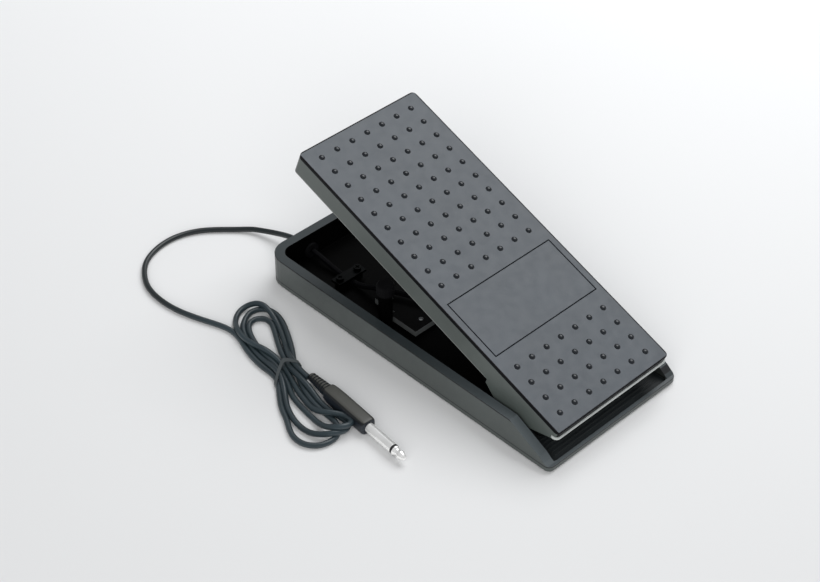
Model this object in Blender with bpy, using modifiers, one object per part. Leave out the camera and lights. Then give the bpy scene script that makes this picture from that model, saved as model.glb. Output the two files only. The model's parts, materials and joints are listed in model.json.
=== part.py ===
"""A rocker foot pedal: a tread plate that tilts on a tray, turns a potentiometer, and has a corded plug.

Metres, +Z up. The origin is on the floor, under the middle of the tray. +Y points from the heel to the toe
and +X to the player's right. Values named ..._Z are heights above the floor.
"""

import math

import bmesh
import bpy
from mathutils import Matrix, Vector

# ---------------------------------------------------------------- driving dimensions
CLEARANCE = 0.0003

# tray
TRAY_WIDTH = 0.1136
TRAY_LENGTH = 0.246
TRAY_BOTTOM_Z = 0.0015
FLOOR_Z = 0.0037
RIM_Z = 0.022
RIM_WIDTH = 0.0067
RIM_EDGE = 0.0012
TOE_CORNER = 0.014
HEEL_CORNER = 0.004
INNER_CORNER = 0.008
HEEL_WALL_Z = 0.005
HEEL_WALL = 0.0022
CHEEK_BREAK_Y = -0.0909
CHEEK_LOW_Y = -0.115
CHEEK_LOW_Z = 0.0094
CHANNEL_WIDTH = 0.0022
CHANNEL_TOP_Z = 0.019
BOSS_Z = 0.007
SUNK = 0.0005

# foot plate, measured from its heel edge (along) and below its top face (down)
PLATE_WIDTH = 0.097
PLATE_LENGTH = 0.2327
PLATE_THICKNESS = 0.003
SKIRT_DEPTH = 0.0155
SKIRT_THICKNESS = 0.0025
HEEL_LIP_DEPTH = 0.0065
TOP_ROUNDING = 0.0016
PLATE_CORNER = 0.003
DOME_PITCH_ACROSS = 0.0125
DOME_PITCH_ALONG = 0.0122
DOME_RADIUS = 0.0018
DOME_HEIGHT = 0.0008
DOME_COLUMNS = 7
TOE_ROWS = 10
HEEL_ROWS = 4
TOE_FIELD_START = 0.1133
HEEL_FIELD_START = 0.0101
PANEL_START = 0.0586
PANEL_END = 0.1016
PANEL_WIDTH = 0.0877
GROOVE_WIDTH = 0.0006
GROOVE_DEPTH = 0.0004
RIB_X = 0.024
RIB_THICKNESS = 0.0016
RIB_DEPTH = 0.0055
PAD_DOWN = 0.006

# hinge
HINGE_Y = -0.080
HINGE_Z = 0.013
HINGE_ALONG = 0.0341
HINGE_DOWN = 0.0266
REST_TILT = math.radians(20.72)
ROD_RADIUS = 0.003
ROD_LENGTH = 0.0964
EAR_RADIUS = 0.0075
EAR_FRONT = 0.055
EAR_REAR = 0.014
BUSH_RADIUS = 0.005
PEDESTAL_X = 0.040
PEDESTAL_WIDTH = 0.008
PEDESTAL_LENGTH = 0.018
SADDLE_SPLIT = 0.00015
SADDLE_TOP_Z = 0.0195
CAP_SCREW_OFFSET = 0.0062
WASHER_RADIUS = 0.0068
WASHER_SPAN = (0.0443, 0.0453)
BUSH_SPAN = (0.0456, 0.0484)

# gear sector and pinion
MODULE = 0.001
SECTOR_TEETH = 72
PINION_TEETH = 12
SECTOR_X = -0.004
SECTOR_WIDTH = 0.004
SECTOR_INNER_RADIUS = 0.029
SECTOR_FROM = math.radians(-13)
SECTOR_TO = math.radians(17)
PINION_BEARING = math.radians(12)
CENTRE_DISTANCE = MODULE * (SECTOR_TEETH + PINION_TEETH) / 2
FLANGE_LOW = 0.0178
SECTOR_SCREWS = (-0.0110, 0.0030)
SECTOR_SCREW_Y = 0.027

# potentiometer, placed along X from its bracket
BRACKET_X = 0.0032
BRACKET_THICKNESS = 0.0015
BRACKET_HALF_LENGTH = 0.011
BRACKET_TOP_Z = 0.0285
BRACKET_FOOT_END_X = 0.023
BRACKET_SCREW_X = 0.0185
BRACKET_SCREW_OFFSET = 0.006
POT_RADIUS = 0.0085
POT_LENGTH = 0.010
BUSHING_RADIUS = 0.0035
SHAFT_RADIUS = 0.0025
SHAFT_LENGTH = 0.018
PINION_SPAN = (-0.007, -0.001)

# stops: where the top of each rubber cap is, its post's radius and the cap's depth
TOE_STOP = ((0.037, 0.033, 0.0376), 0.0045, 0.0070)
HEEL_STOP = ((0.037, -0.098, 0.0291), 0.0035, 0.0060)
STOPS = (("toe", *TOE_STOP), ("heel", *HEEL_STOP))
CAP_WALL = 0.001
CAP_CROWN = 0.0023
CAP_CHAMFER = 0.0008

# cord, plug and hank
CORD_RADIUS = 0.0018
LAID_Z = CORD_RADIUS + CLEARANCE
CORD_X = -0.0245
CORD_EXIT_Z = 0.0095
CORD_HOLE_RADIUS = 0.005
CLAMP_Y = 0.080
CLAMP_BOSS_OFFSET = 0.0075
PLUG_START = (-0.1036, 0.0130, 0.0053)
PLUG_YAW = math.radians(-95.3)
HANK_BOTTOM_Z = 0.0015
HANK_TOP_Z = 0.0105
HANDLE_LENGTH = 0.0395
HANDLE_RADIUS = 0.005
RELIEF_LENGTH = 0.0165
RELIEF_RINGS = 6
SLEEVE_RADIUS = 0.003175
SLEEVE_LENGTH = 0.0225
BAND_LENGTH = 0.0012

# screws and mounting plate
SCREW_RADIUS = 0.0013
SCREW_HOLE = SCREW_RADIUS + CLEARANCE
SCREW_SIDES = 12
MOUNTING_PLATE_THICKNESS = 0.004
PLATE_SCREWS = [(x, y) for x in (-0.020, 0.020) for y in (0.019, 0.046)]

# rubber feet
FOOT_X = 0.044
FOOT_Y = 0.106
FOOT_RADIUS = 0.008
FOOT_HEIGHT = 0.002
FOOT_RECESS_Z = FOOT_HEIGHT + CLEARANCE

MIRRORED = (-1, 1)
SIDES = (("left", -1), ("right", 1))


# ---------------------------------------------------------------- scene, collections, materials
for old in list(bpy.data.objects):
    bpy.data.objects.remove(old)

PARTS = bpy.data.collections.new("rocker_pedal")
CUTTERS = bpy.data.collections.new("cutters")
for group in (PARTS, CUTTERS):
    bpy.context.scene.collection.children.link(group)


def material(name, colour, roughness, metallic=0.0):
    made = bpy.data.materials.new(name)
    made.use_nodes = True
    shader = made.node_tree.nodes["Principled BSDF"]
    shader.inputs["Base Color"].default_value = (*colour, 1.0)
    shader.inputs["Roughness"].default_value = roughness
    shader.inputs["Metallic"].default_value = metallic
    return made


# ---------------------------------------------------------------- shape helpers
def axes(name, location, rotation=(0.0, 0.0, 0.0)):
    """An empty that other pieces are placed on."""
    empty = bpy.data.objects.new(name, None)
    empty.location = location
    empty.rotation_euler = rotation
    PARTS.objects.link(empty)
    return empty


def from_bmesh(name, shape, smooth=False):
    bmesh.ops.recalc_face_normals(shape, faces=shape.faces)
    mesh = bpy.data.meshes.new(name)
    shape.to_mesh(mesh)
    shape.free()
    if smooth:
        mesh.shade_smooth()
        mesh.set_sharp_from_angle(angle=math.radians(35))
    return bpy.data.objects.new(name, mesh)


def box(name, low, high):
    shape = bmesh.new()
    bmesh.ops.create_cube(shape, size=1.0)
    low = Vector(low)
    high = Vector(high)
    for vertex in shape.verts:
        vertex.co = (low + high) / 2 + Vector(a * b for a, b in zip(vertex.co, high - low))
    return from_bmesh(name, shape)


DIRECTIONS = {
    "X": Matrix.Rotation(math.radians(90), 4, "Y"),
    "Y": Matrix.Rotation(math.radians(-90), 4, "X"),
    "Z": Matrix.Identity(4),
}


def cylinder(name, radius, start, length, axis="Z", sides=24, end_radius=None):
    """A round bar from start along the axis."""
    shape = bmesh.new()
    bmesh.ops.create_cone(
        shape, cap_ends=True, segments=sides, depth=length,
        radius1=radius, radius2=radius if end_radius is None else end_radius,
    )
    shift = Matrix.Translation(Vector(start)) @ DIRECTIONS[axis] @ Matrix.Translation((0, 0, length / 2))
    bmesh.ops.transform(shape, matrix=shift, verts=shape.verts)
    return from_bmesh(name, shape, smooth=True)


def as_mesh(source):
    """Turns a curve or a modified object into a plain closed mesh object in the same place."""
    bpy.context.scene.collection.objects.link(source)
    bpy.context.view_layer.update()
    evaluated = source.evaluated_get(bpy.context.evaluated_depsgraph_get())
    mesh = bpy.data.meshes.new_from_object(evaluated)
    name = source.name
    place = source.matrix_world.copy()
    bpy.data.objects.remove(source)
    shape = bmesh.new()
    shape.from_mesh(mesh)
    bmesh.ops.remove_doubles(shape, verts=shape.verts, dist=0.00001)
    bmesh.ops.recalc_face_normals(shape, faces=shape.faces)
    bmesh.ops.transform(shape, matrix=place, verts=shape.verts)
    shape.to_mesh(mesh)
    shape.free()
    made = bpy.data.objects.new(name, mesh)
    made.name = name
    return made


STANDS = {
    "Z": Matrix.Identity(4),
    "X": Matrix(((0, 0, 1, 0), (1, 0, 0, 0), (0, 1, 0, 0), (0, 0, 0, 1))),
}


def slab(name, loops, low, high, axis="Z"):
    """A flat outline, with any further loops as its holes, extruded along the axis from low to high.

    Along Z the outline is in X, Y. Along X it is in Y, Z.
    """
    curve = bpy.data.curves.new(name, "CURVE")
    curve.dimensions = "2D"
    curve.fill_mode = "BOTH"
    curve.extrude = (high - low) / 2
    for loop in loops:
        spline = curve.splines.new("POLY")
        spline.points.add(len(loop) - 1)
        for point, (u, v) in zip(spline.points, loop):
            point.co = (u, v, 0.0, 1.0)
        spline.use_cyclic_u = True
    outline = bpy.data.objects.new(name, curve)
    outline.matrix_world = STANDS[axis] @ Matrix.Translation((0, 0, (low + high) / 2))
    return as_mesh(outline)


def turned(name, profile, sides=24, axis="Z", start=(0, 0, 0)):
    """A turned piece. The profile lists (radius, height) and runs down the outer side, top to bottom."""
    mesh = bpy.data.meshes.new(name)
    points = [(radius, 0.0, height) for radius, height in profile]
    mesh.from_pydata(points, [(i, i + 1) for i in range(len(points) - 1)], [])
    outline = bpy.data.objects.new(name, mesh)
    turn = outline.modifiers.new("turn", "SCREW")
    turn.steps = sides
    turn.render_steps = sides
    turn.use_merge_vertices = True
    turn.merge_threshold = 0.00001
    outline.matrix_world = Matrix.Translation(Vector(start)) @ DIRECTIONS[axis]
    made = as_mesh(outline)
    made.data.shade_smooth()
    made.data.set_sharp_from_angle(angle=math.radians(35))
    return made


def ring_profile(inner, outer, low, high):
    """The closed profile of a plain ring, from its inner top edge round to the start."""
    return [(inner, high), (outer, high), (outer, low), (inner, low), (inner, high)]


def arc(centre, radius, start, end, steps):
    """Points on an arc, angles in radians."""
    return [
        (
            centre[0] + radius * math.cos(start + (end - start) * i / steps),
            centre[1] + radius * math.sin(start + (end - start) * i / steps),
        )
        for i in range(steps + 1)
    ]


def rounded(half_x, low_y, high_y, low_radius, high_radius, steps=6):
    """A rectangle about X = 0 with one corner radius at its low Y end and one at its high Y end."""
    corners = (
        (half_x - high_radius, high_y - high_radius, high_radius, 0),
        (-half_x + high_radius, high_y - high_radius, high_radius, 90),
        (-half_x + low_radius, low_y + low_radius, low_radius, 180),
        (half_x - low_radius, low_y + low_radius, low_radius, 270),
    )
    points = []
    for x, y, radius, angle in corners:
        points += arc((x, y), radius, math.radians(angle), math.radians(angle + 90), steps)
    return points


def add_modifier(target, tool, operation):
    change = target.modifiers.new(tool.name, "BOOLEAN")
    change.operation = operation
    change.solver = "EXACT"
    change.object = tool


def as_tool(tool, parent=None):
    """Keeps a cutter or an added solid out of the model itself."""
    CUTTERS.objects.link(tool)
    tool.hide_render = True
    tool.display_type = "WIRE"
    tool.parent = parent
    return tool


def cut(target, *tools, parent=None):
    for tool in tools:
        add_modifier(target, as_tool(tool, parent), "DIFFERENCE")


def join(target, *tools, parent=None):
    for tool in tools:
        add_modifier(target, as_tool(tool, parent), "UNION")


def part(obj, name, look, parent=None):
    """Names a finished piece, gives it its material and puts it in the model."""
    obj.name = name
    obj.data.materials.clear()
    obj.data.materials.append(look)
    obj.parent = parent
    PARTS.objects.link(obj)
    return obj


def screw(name, head, length, look, parent=None, up=1, head_radius=0.0026, head_height=0.0018):
    """A pan head screw with a crossed slot. head is the seat of its head; up is +1 if the head is on top."""
    low, high = sorted((0.0, head_height * up))
    body = slab(name, [arc((0, 0), head_radius, 0, math.tau * 15 / 16, 15)], low, high)
    overlap = 0.0002
    shank_low = -length if up > 0 else -overlap
    shank = cylinder(name + "_shank", SCREW_RADIUS, (0, 0, shank_low), length + overlap, "Z", SCREW_SIDES)
    join(body, shank, parent=body)
    slot_floor = head_height * 0.5 * up
    slot_length = head_radius * 0.65
    slot_width = head_radius * 0.15
    for turn, (half_x, half_y) in enumerate(((slot_length, slot_width), (slot_width, slot_length))):
        ends = sorted((slot_floor, head_height * 1.5 * up))
        cutter = box(f"{name}_slot_{turn}", (-half_x, -half_y, ends[0]), (half_x, half_y, ends[1]))
        cut(body, cutter, parent=body)
    part(body, name, look, parent)
    body.location = head
    return body


# ---------------------------------------------------------------- materials
TRAY_PLASTIC = material("tray_plastic", (0.100, 0.115, 0.115), 0.45)
PLATE_PLASTIC = material("plate_plastic", (0.140, 0.160, 0.185), 0.42)
RUBBER = material("rubber", (0.022, 0.022, 0.024), 0.80)
STEEL = material("zinc_steel", (0.560, 0.570, 0.580), 0.34, 1.0)
BLACK_STEEL = material("blackened_steel", (0.080, 0.082, 0.085), 0.45, 1.0)
NYLON = material("nylon", (0.760, 0.750, 0.700), 0.50)
ACETAL = material("acetal", (0.560, 0.560, 0.540), 0.38)
BRASS = material("brass", (0.660, 0.520, 0.260), 0.35, 1.0)
PHENOLIC = material("phenolic", (0.210, 0.110, 0.050), 0.60)
CORD_JACKET = material("cord_jacket", (0.055, 0.075, 0.088), 0.50)
PLUG_PLASTIC = material("plug_plastic", (0.050, 0.060, 0.068), 0.48)
NICKEL = material("nickel", (0.820, 0.810, 0.790), 0.18, 1.0)
BAND_PLASTIC = material("band_plastic", (0.015, 0.015, 0.016), 0.40)
TIE_PLASTIC = material("tie_plastic", (0.070, 0.088, 0.098), 0.35)


# ---------------------------------------------------------------- tray
INNER_X = TRAY_WIDTH / 2 - RIM_WIDTH
TOE_Y = TRAY_LENGTH / 2
HEEL_Y = -TRAY_LENGTH / 2
INNER_TOE_Y = TOE_Y - RIM_WIDTH
BRACKET_Y = HINGE_Y + CENTRE_DISTANCE * math.cos(PINION_BEARING)
POT_Z = HINGE_Z + CENTRE_DISTANCE * math.sin(PINION_BEARING)


def screw_hole(name, x, y, low, depth):
    return cylinder(name, SCREW_HOLE, (x, y, low), depth, "Z", SCREW_SIDES)


def tray():
    outline = rounded(TRAY_WIDTH / 2, HEEL_Y, TOE_Y, HEEL_CORNER, TOE_CORNER)
    body = slab("tray", [outline], TRAY_BOTTOM_Z, RIM_Z)
    bevel = body.modifiers.new("rim_edge", "BEVEL")
    bevel.width = RIM_EDGE
    bevel.segments = 1
    bevel.limit_method = "ANGLE"
    bevel.angle_limit = math.radians(60)
    well = rounded(INNER_X, HEEL_Y + HEEL_WALL, INNER_TOE_Y, 0.002, INNER_CORNER)
    cut(body, slab("well", [well], FLOOR_Z, RIM_Z * 2))
    cheek = [
        (CHEEK_BREAK_Y, RIM_Z),
        (CHEEK_LOW_Y, CHEEK_LOW_Z),
        (CHEEK_LOW_Y - 0.0035, CHEEK_LOW_Z - 0.0028),
        (CHEEK_LOW_Y - 0.0060, HEEL_WALL_Z),
        (HEEL_Y - 0.010, HEEL_WALL_Z),
        (HEEL_Y - 0.010, RIM_Z * 2),
        (CHEEK_BREAK_Y, RIM_Z * 2),
    ]
    cut(body, slab("cheek_slope", [cheek], -TRAY_WIDTH, TRAY_WIDTH, "X"))
    hollow_walls(body)
    uprights(body)
    floor_ribs(body)
    holes(body)
    part(body, "base_tray", TRAY_PLASTIC)


def hollow_walls(body):
    """The thick rim is two thin walls with a channel between them, open underneath."""
    middle = TRAY_WIDTH / 2 - RIM_WIDTH / 2
    for side in MIRRORED:
        low = side * middle - CHANNEL_WIDTH / 2
        cut(body, box(f"channel_{side}", (low, -0.084, 0.0), (low + CHANNEL_WIDTH, 0.098, CHANNEL_TOP_Z)))


def uprights(body):
    """Saddles for the hinge rod, posts for the stops, and bosses for the screws."""
    sunk = FLOOR_Z - SUNK
    for side in MIRRORED:
        saddle_x = side * PEDESTAL_X - PEDESTAL_WIDTH / 2
        saddle_y = HINGE_Y - PEDESTAL_LENGTH / 2
        high = (saddle_x + PEDESTAL_WIDTH, saddle_y + PEDESTAL_LENGTH, HINGE_Z - SADDLE_SPLIT)
        join(body, box(f"pedestal_{side}", (saddle_x, saddle_y, sunk), high))
        for where, (x, y, top), radius, _ in STOPS:
            height = top - CAP_CROWN - CLEARANCE - sunk
            join(body, cylinder(f"post_{where}_{side}", radius, (side * x, y, sunk), height, "Z", 16))
        clamp_boss = (CORD_X + side * CLAMP_BOSS_OFFSET, CLAMP_Y, sunk)
        join(body, cylinder(f"clamp_boss_{side}", 0.0033, clamp_boss, BOSS_Z - sunk, "Z", 16))
        bracket_boss = (BRACKET_SCREW_X, BRACKET_Y + side * BRACKET_SCREW_OFFSET, sunk)
        join(body, cylinder(f"bracket_boss_{side}", 0.0038, bracket_boss, BOSS_Z - sunk, "Z", 16))


def floor_ribs(body):
    """Six low ribs across the heel end of the floor."""
    for row in range(6):
        y = HEEL_Y + 0.0060 + row * 0.0028
        join(body, box(f"rib_{row}", (-0.045, y, FLOOR_Z - 0.0003), (0.045, y + 0.0010, FLOOR_Z + 0.0005)))


def holes(body):
    cord_start = (CORD_X, INNER_TOE_Y - 0.002, CORD_EXIT_Z)
    cut(body, cylinder("cord_hole", CORD_HOLE_RADIUS, cord_start, 0.012, "Y", 20))
    for side in MIRRORED:
        saddle_start = (side * PEDESTAL_X - 0.006, HINGE_Y, HINGE_Z)
        cut(body, cylinder(f"saddle_{side}", ROD_RADIUS + CLEARANCE, saddle_start, 0.012, "X"))
        for end in MIRRORED:
            y = HINGE_Y + end * CAP_SCREW_OFFSET
            cut(body, screw_hole(f"cap_pilot_{side}_{end}", side * PEDESTAL_X, y, 0.0048, 0.012))
            seat = (side * FOOT_X, end * FOOT_Y, 0.0)
            radius = FOOT_RADIUS + CLEARANCE
            cut(body, cylinder(f"foot_recess_{side}_{end}", radius, seat, FOOT_RECESS_Z, "Z", 20))
        x = CORD_X + side * CLAMP_BOSS_OFFSET
        cut(body, screw_hole(f"clamp_pilot_{side}", x, CLAMP_Y, 0.0026, 0.008))
        y = BRACKET_Y + side * BRACKET_SCREW_OFFSET
        cut(body, screw_hole(f"bracket_pilot_{side}", BRACKET_SCREW_X, y, 0.0026, 0.008))
    for index, (x, y) in enumerate(PLATE_SCREWS):
        cut(body, screw_hole(f"plate_hole_{index}", x, y, 0.0, 0.008))


def feet():
    edge = 0.0005
    profile = [
        (0.0, FOOT_HEIGHT), (FOOT_RADIUS, FOOT_HEIGHT), (FOOT_RADIUS, edge), (FOOT_RADIUS - edge, 0.0),
        (0.0, 0.0),
    ]
    for across, side in SIDES:
        for along, end in (("heel", -1), ("toe", 1)):
            foot = turned("foot", profile, 20, "Z", (side * FOOT_X, end * FOOT_Y, 0.0))
            part(foot, f"rubber_foot_{along}_{across}", RUBBER)


def stops():
    """Rubber caps on the posts."""
    for across, side in SIDES:
        for where, (x, y, top), radius, depth in STOPS:
            inner = radius + CLEARANCE
            outer = inner + CAP_WALL
            crown = top - CAP_CROWN
            low = top - depth
            profile = [
                (0.0, top), (outer - CAP_CHAMFER, top), (outer, top - CAP_CHAMFER), (outer, low),
                (inner, low), (inner, crown), (0.0, crown),
            ]
            part(turned("cap", profile, 16, "Z", (side * x, y, 0.0)), f"{where}_stop_{across}", RUBBER)


# ---------------------------------------------------------------- mounting plate in the well
def mounting_plate():
    low = FLOOR_Z + CLEARANCE
    outline = [
        (-0.0310, 0.0125), (0.0310, 0.0125), (0.0310, 0.0530),
        (-0.0270, 0.0530), (-0.0270, 0.0350), (-0.0310, 0.0350),
    ]
    plate = slab("plate", [outline], low, low + MOUNTING_PLATE_THICKNESS)
    for index, (x, y) in enumerate(PLATE_SCREWS):
        cut(plate, screw_hole(f"thread_{index}", x, y, 0.0, 0.020))
    part(plate, "mounting_plate", BLACK_STEEL)
    for index, (x, y) in enumerate(PLATE_SCREWS):
        seat = (x, y, TRAY_BOTTOM_Z - CLEARANCE)
        screw(f"plate_screw_{index + 1}", seat, 0.0060, STEEL, up=-1, head_radius=0.0026, head_height=0.0010)


# ---------------------------------------------------------------- hinge
def hinge():
    rod = cylinder("rod", ROD_RADIUS, (-ROD_LENGTH / 2, HINGE_Y, HINGE_Z), ROD_LENGTH, "X")
    part(rod, "hinge_rod", STEEL)
    for across, side in SIDES:
        low_x, high_x = sorted(side * x for x in WASHER_SPAN)
        profile = ring_profile(ROD_RADIUS + CLEARANCE, WASHER_RADIUS, 0.0, high_x - low_x)
        washer = turned("washer", profile, 24, "X", (low_x, HINGE_Y, HINGE_Z))
        part(washer, f"friction_washer_{across}", NYLON)
        saddle_cap(across, side * PEDESTAL_X)


def saddle_cap(across, x):
    low = (x - PEDESTAL_WIDTH / 2, HINGE_Y - PEDESTAL_LENGTH / 2, HINGE_Z + SADDLE_SPLIT)
    high = (x + PEDESTAL_WIDTH / 2, HINGE_Y + PEDESTAL_LENGTH / 2, SADDLE_TOP_Z)
    cap = box("cap", low, high)
    bore_start = (x - 0.006, HINGE_Y, HINGE_Z)
    cut(cap, cylinder(f"cap_bore_{across}", ROD_RADIUS + CLEARANCE, bore_start, 0.012, "X"))
    for where, end in (("heel", -1), ("toe", 1)):
        y = HINGE_Y + end * CAP_SCREW_OFFSET
        cut(cap, screw_hole(f"cap_hole_{across}_{where}", x, y, 0.0, 0.030))
        seat = (x, y, SADDLE_TOP_Z + CLEARANCE)
        screw(f"cap_screw_{across}_{where}", seat, 0.0130, STEEL, head_radius=0.0025)
    part(cap, f"saddle_cap_{across}", TRAY_PLASTIC)


# ---------------------------------------------------------------- foot plate, in axes on the hinge
PLATE_AXES = axes("foot_plate_axis", (0.0, HINGE_Y, HINGE_Z), (REST_TILT, 0.0, 0.0))


def on_plate(along, down):
    """Y and Z in the foot plate's axes of a point measured from its heel edge and below its top face."""
    return (along - HINGE_ALONG, HINGE_DOWN - down)


def foot_plate():
    heel, top = on_plate(0.0, 0.0)
    toe = on_plate(PLATE_LENGTH, 0.0)[0]
    low = -EAR_RADIUS - 0.001
    body = slab("foot_plate", [rounded(PLATE_WIDTH / 2, heel, toe, PLATE_CORNER, PLATE_CORNER, 4)], low, top)
    bevel = body.modifiers.new("top_edge", "BEVEL")
    bevel.width = TOP_ROUNDING
    bevel.segments = 3
    bevel.limit_method = "WEIGHT"
    weights = body.data.attributes.new("bevel_weight_edge", "FLOAT", "EDGE")
    for edge, weight in zip(body.data.edges, weights.data):
        heights = [body.data.vertices[index].co.z for index in edge.vertices]
        weight.value = 1.0 if min(heights) > top - 0.0001 else 0.0
    half_inside = PLATE_WIDTH / 2 - SKIRT_THICKNESS
    inside = rounded(half_inside, heel + SKIRT_THICKNESS, toe - SKIRT_THICKNESS, 0.002, 0.002, 2)
    hollow = slab("plate_inside", [inside], low - 0.01, top - PLATE_THICKNESS)
    bore_start = (-PLATE_WIDTH, 0.0, 0.0)
    ear_bore = cylinder("ear_bore", BUSH_RADIUS + CLEARANCE, bore_start, PLATE_WIDTH * 2, "X")
    cut(body, hollow, skirt_line(), ear_bore, *panel_groove(), parent=PLATE_AXES)
    join(body, *plate_ribs(), domes(), parent=PLATE_AXES)
    for x in SECTOR_SCREWS:
        pilot = screw_hole(f"sector_pilot_{x}", x, SECTOR_SCREW_Y, HINGE_DOWN - 0.008, 0.0062)
        cut(body, pilot, parent=PLATE_AXES)
    part(body, "foot_plate", PLATE_PLASTIC, PLATE_AXES)


def skirt_line():
    """Everything below the skirt's lower edge, which reaches down as an ear around the hinge."""
    far = -0.050
    outline = [
        on_plate(-0.010, HEEL_LIP_DEPTH),
        on_plate(0.0005, HEEL_LIP_DEPTH),
        on_plate(EAR_REAR, SKIRT_DEPTH),
    ]
    outline += arc((0, 0), EAR_RADIUS, math.radians(160), math.radians(370), 16)
    outline += [
        on_plate(EAR_FRONT, SKIRT_DEPTH + 0.003),
        on_plate(EAR_FRONT, SKIRT_DEPTH),
        on_plate(PLATE_LENGTH + 0.010, SKIRT_DEPTH),
        (PLATE_LENGTH, far),
        (-PLATE_LENGTH, far),
    ]
    return slab("skirt_line", [outline], -PLATE_WIDTH, PLATE_WIDTH, "X")


def panel_groove():
    """Four narrow cuts that frame the blank panel."""
    low = on_plate(PANEL_START, 0.0)[0]
    high = on_plate(PANEL_END, 0.0)[0]
    half = PANEL_WIDTH / 2
    floor = HINGE_DOWN - GROOVE_DEPTH
    above = HINGE_DOWN + 0.002
    for end, y in (("heel", low), ("toe", high - GROOVE_WIDTH)):
        yield box(f"groove_{end}", (-half, y, floor), (half, y + GROOVE_WIDTH, above))
    for side, x in (("left", -half), ("right", half - GROOVE_WIDTH)):
        yield box(f"groove_{side}", (x, low, floor), (x + GROOVE_WIDTH, high, above))


def plate_ribs():
    """Two long ribs and a screw pad under the plate."""
    top = HINGE_DOWN - PLATE_THICKNESS + SUNK
    heel = on_plate(0.006, 0.0)[0]
    toe = on_plate(PLATE_LENGTH - 0.006, 0.0)[0]
    half = RIB_THICKNESS / 2
    for side in MIRRORED:
        x = side * RIB_X
        yield box(f"plate_rib_{side}", (x - half, heel, top - RIB_DEPTH), (x + half, toe, top))
    yield box("screw_pad", (-0.0150, 0.0185, HINGE_DOWN - PAD_DOWN), (0.0070, 0.0355, top))


def domes():
    """All the grip domes as one tool, sunk a little into the top face."""
    shape = bmesh.new()
    for start, rows in ((HEEL_FIELD_START, HEEL_ROWS), (TOE_FIELD_START, TOE_ROWS)):
        for row in range(rows):
            y, top = on_plate(start + row * DOME_PITCH_ALONG, 0.0)
            for column in range(DOME_COLUMNS):
                x = (column - (DOME_COLUMNS - 1) / 2) * DOME_PITCH_ACROSS
                dome(shape, x, y, top)
    return from_bmesh("domes", shape)


def dome(shape, x, y, top, sides=8):
    """One low dome: a stack of rings that narrows upwards, closed at both ends."""
    profile = ((1.08, -0.25), (0.76, 0.62), (0.34, 1.0))
    rings = []
    for across, up in profile:
        circle = arc((x, y), across * DOME_RADIUS, 0, math.tau * (sides - 1) / sides, sides - 1)
        rings.append([shape.verts.new((u, v, top + up * DOME_HEIGHT)) for u, v in circle])
    shape.faces.new(reversed(rings[0]))
    shape.faces.new(rings[-1])
    for lower, upper in zip(rings, rings[1:]):
        for i in range(sides):
            j = (i + 1) % sides
            shape.faces.new((lower[i], lower[j], upper[j], upper[i]))


def bushes():
    for across, side in SIDES:
        low, high = sorted(side * x for x in BUSH_SPAN)
        profile = ring_profile(ROD_RADIUS + CLEARANCE, BUSH_RADIUS, 0.0, high - low)
        part(turned("bush", profile, 24, "X", (low, 0.0, 0.0)), f"hinge_bush_{across}", NYLON, PLATE_AXES)


# ---------------------------------------------------------------- gears
PRESSURE_ANGLE = math.radians(20)
BACKLASH = 0.00028
DEDENDUM = MODULE * 1.25


def tooth_half_angle(radius, teeth):
    """Half the angle that an involute tooth spans at a radius."""
    pitch_radius = MODULE * teeth / 2
    base = pitch_radius * math.cos(PRESSURE_ANGLE)
    at_pitch = (math.pi * MODULE / 2 - BACKLASH) / 2 / pitch_radius

    def involute(angle):
        return math.tan(angle) - angle

    here = math.acos(min(1.0, base / radius))
    return at_pitch + involute(PRESSURE_ANGLE) - involute(here)


def tooth(centre_angle, teeth, addendum):
    """One tooth's outline from its left root, over its tip, to its right root, clockwise."""
    pitch_radius = MODULE * teeth / 2
    root = pitch_radius - DEDENDUM
    tip = pitch_radius + addendum
    radii = [root + (tip - root) * i / 4 for i in range(5)]
    left = [(r, centre_angle + tooth_half_angle(r, teeth)) for r in radii]
    right = [(r, centre_angle - tooth_half_angle(r, teeth)) for r in reversed(radii)]
    return [(r * math.cos(a), r * math.sin(a)) for r, a in left + right]


def gear_sector():
    """A toothed arc about the hinge, with a flange that screws up under the foot plate."""
    pitch = math.tau / SECTOR_TEETH
    root = MODULE * SECTOR_TEETH / 2 - DEDENDUM
    first = PINION_BEARING - REST_TILT - pitch / 2
    count = int((SECTOR_TO - SECTOR_FROM) / pitch)
    above = int((SECTOR_TO - first) / pitch)
    angles = [first + (above - i) * pitch for i in range(count)]
    outline = [(0.022, 0.0185), (0.0325, 0.0185)]
    for angle in angles:
        outline += tooth(angle, SECTOR_TEETH, MODULE * 0.7)
    low_angle = angles[-1] - pitch / 2
    outline.append((root * math.cos(low_angle), root * math.sin(low_angle)))
    outline += arc((0, 0), SECTOR_INNER_RADIUS, low_angle, math.radians(25), 12)
    low = SECTOR_X - SECTOR_WIDTH / 2
    body = slab("sector", [outline], low, low + SECTOR_WIDTH, "X")
    flange_top = HINGE_DOWN - PAD_DOWN - CLEARANCE
    join(body, box("flange", (-0.0140, 0.0190, FLANGE_LOW), (0.0060, 0.0350, flange_top)), parent=PLATE_AXES)
    for across, x in zip(("left", "right"), SECTOR_SCREWS):
        cut(body, screw_hole(f"flange_hole_{across}", x, SECTOR_SCREW_Y, 0.010, 0.020), parent=PLATE_AXES)
        seat = (x, SECTOR_SCREW_Y, FLANGE_LOW - CLEARANCE)
        screw(f"sector_screw_{across}", seat, 0.0072, STEEL, PLATE_AXES, up=-1, head_height=0.0014)
    part(body, "gear_sector", ACETAL, PLATE_AXES)


# ---------------------------------------------------------------- potentiometer, in axes on its shaft
POT_AXES = axes("pot_axis", (0.0, BRACKET_Y, POT_Z))


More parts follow.
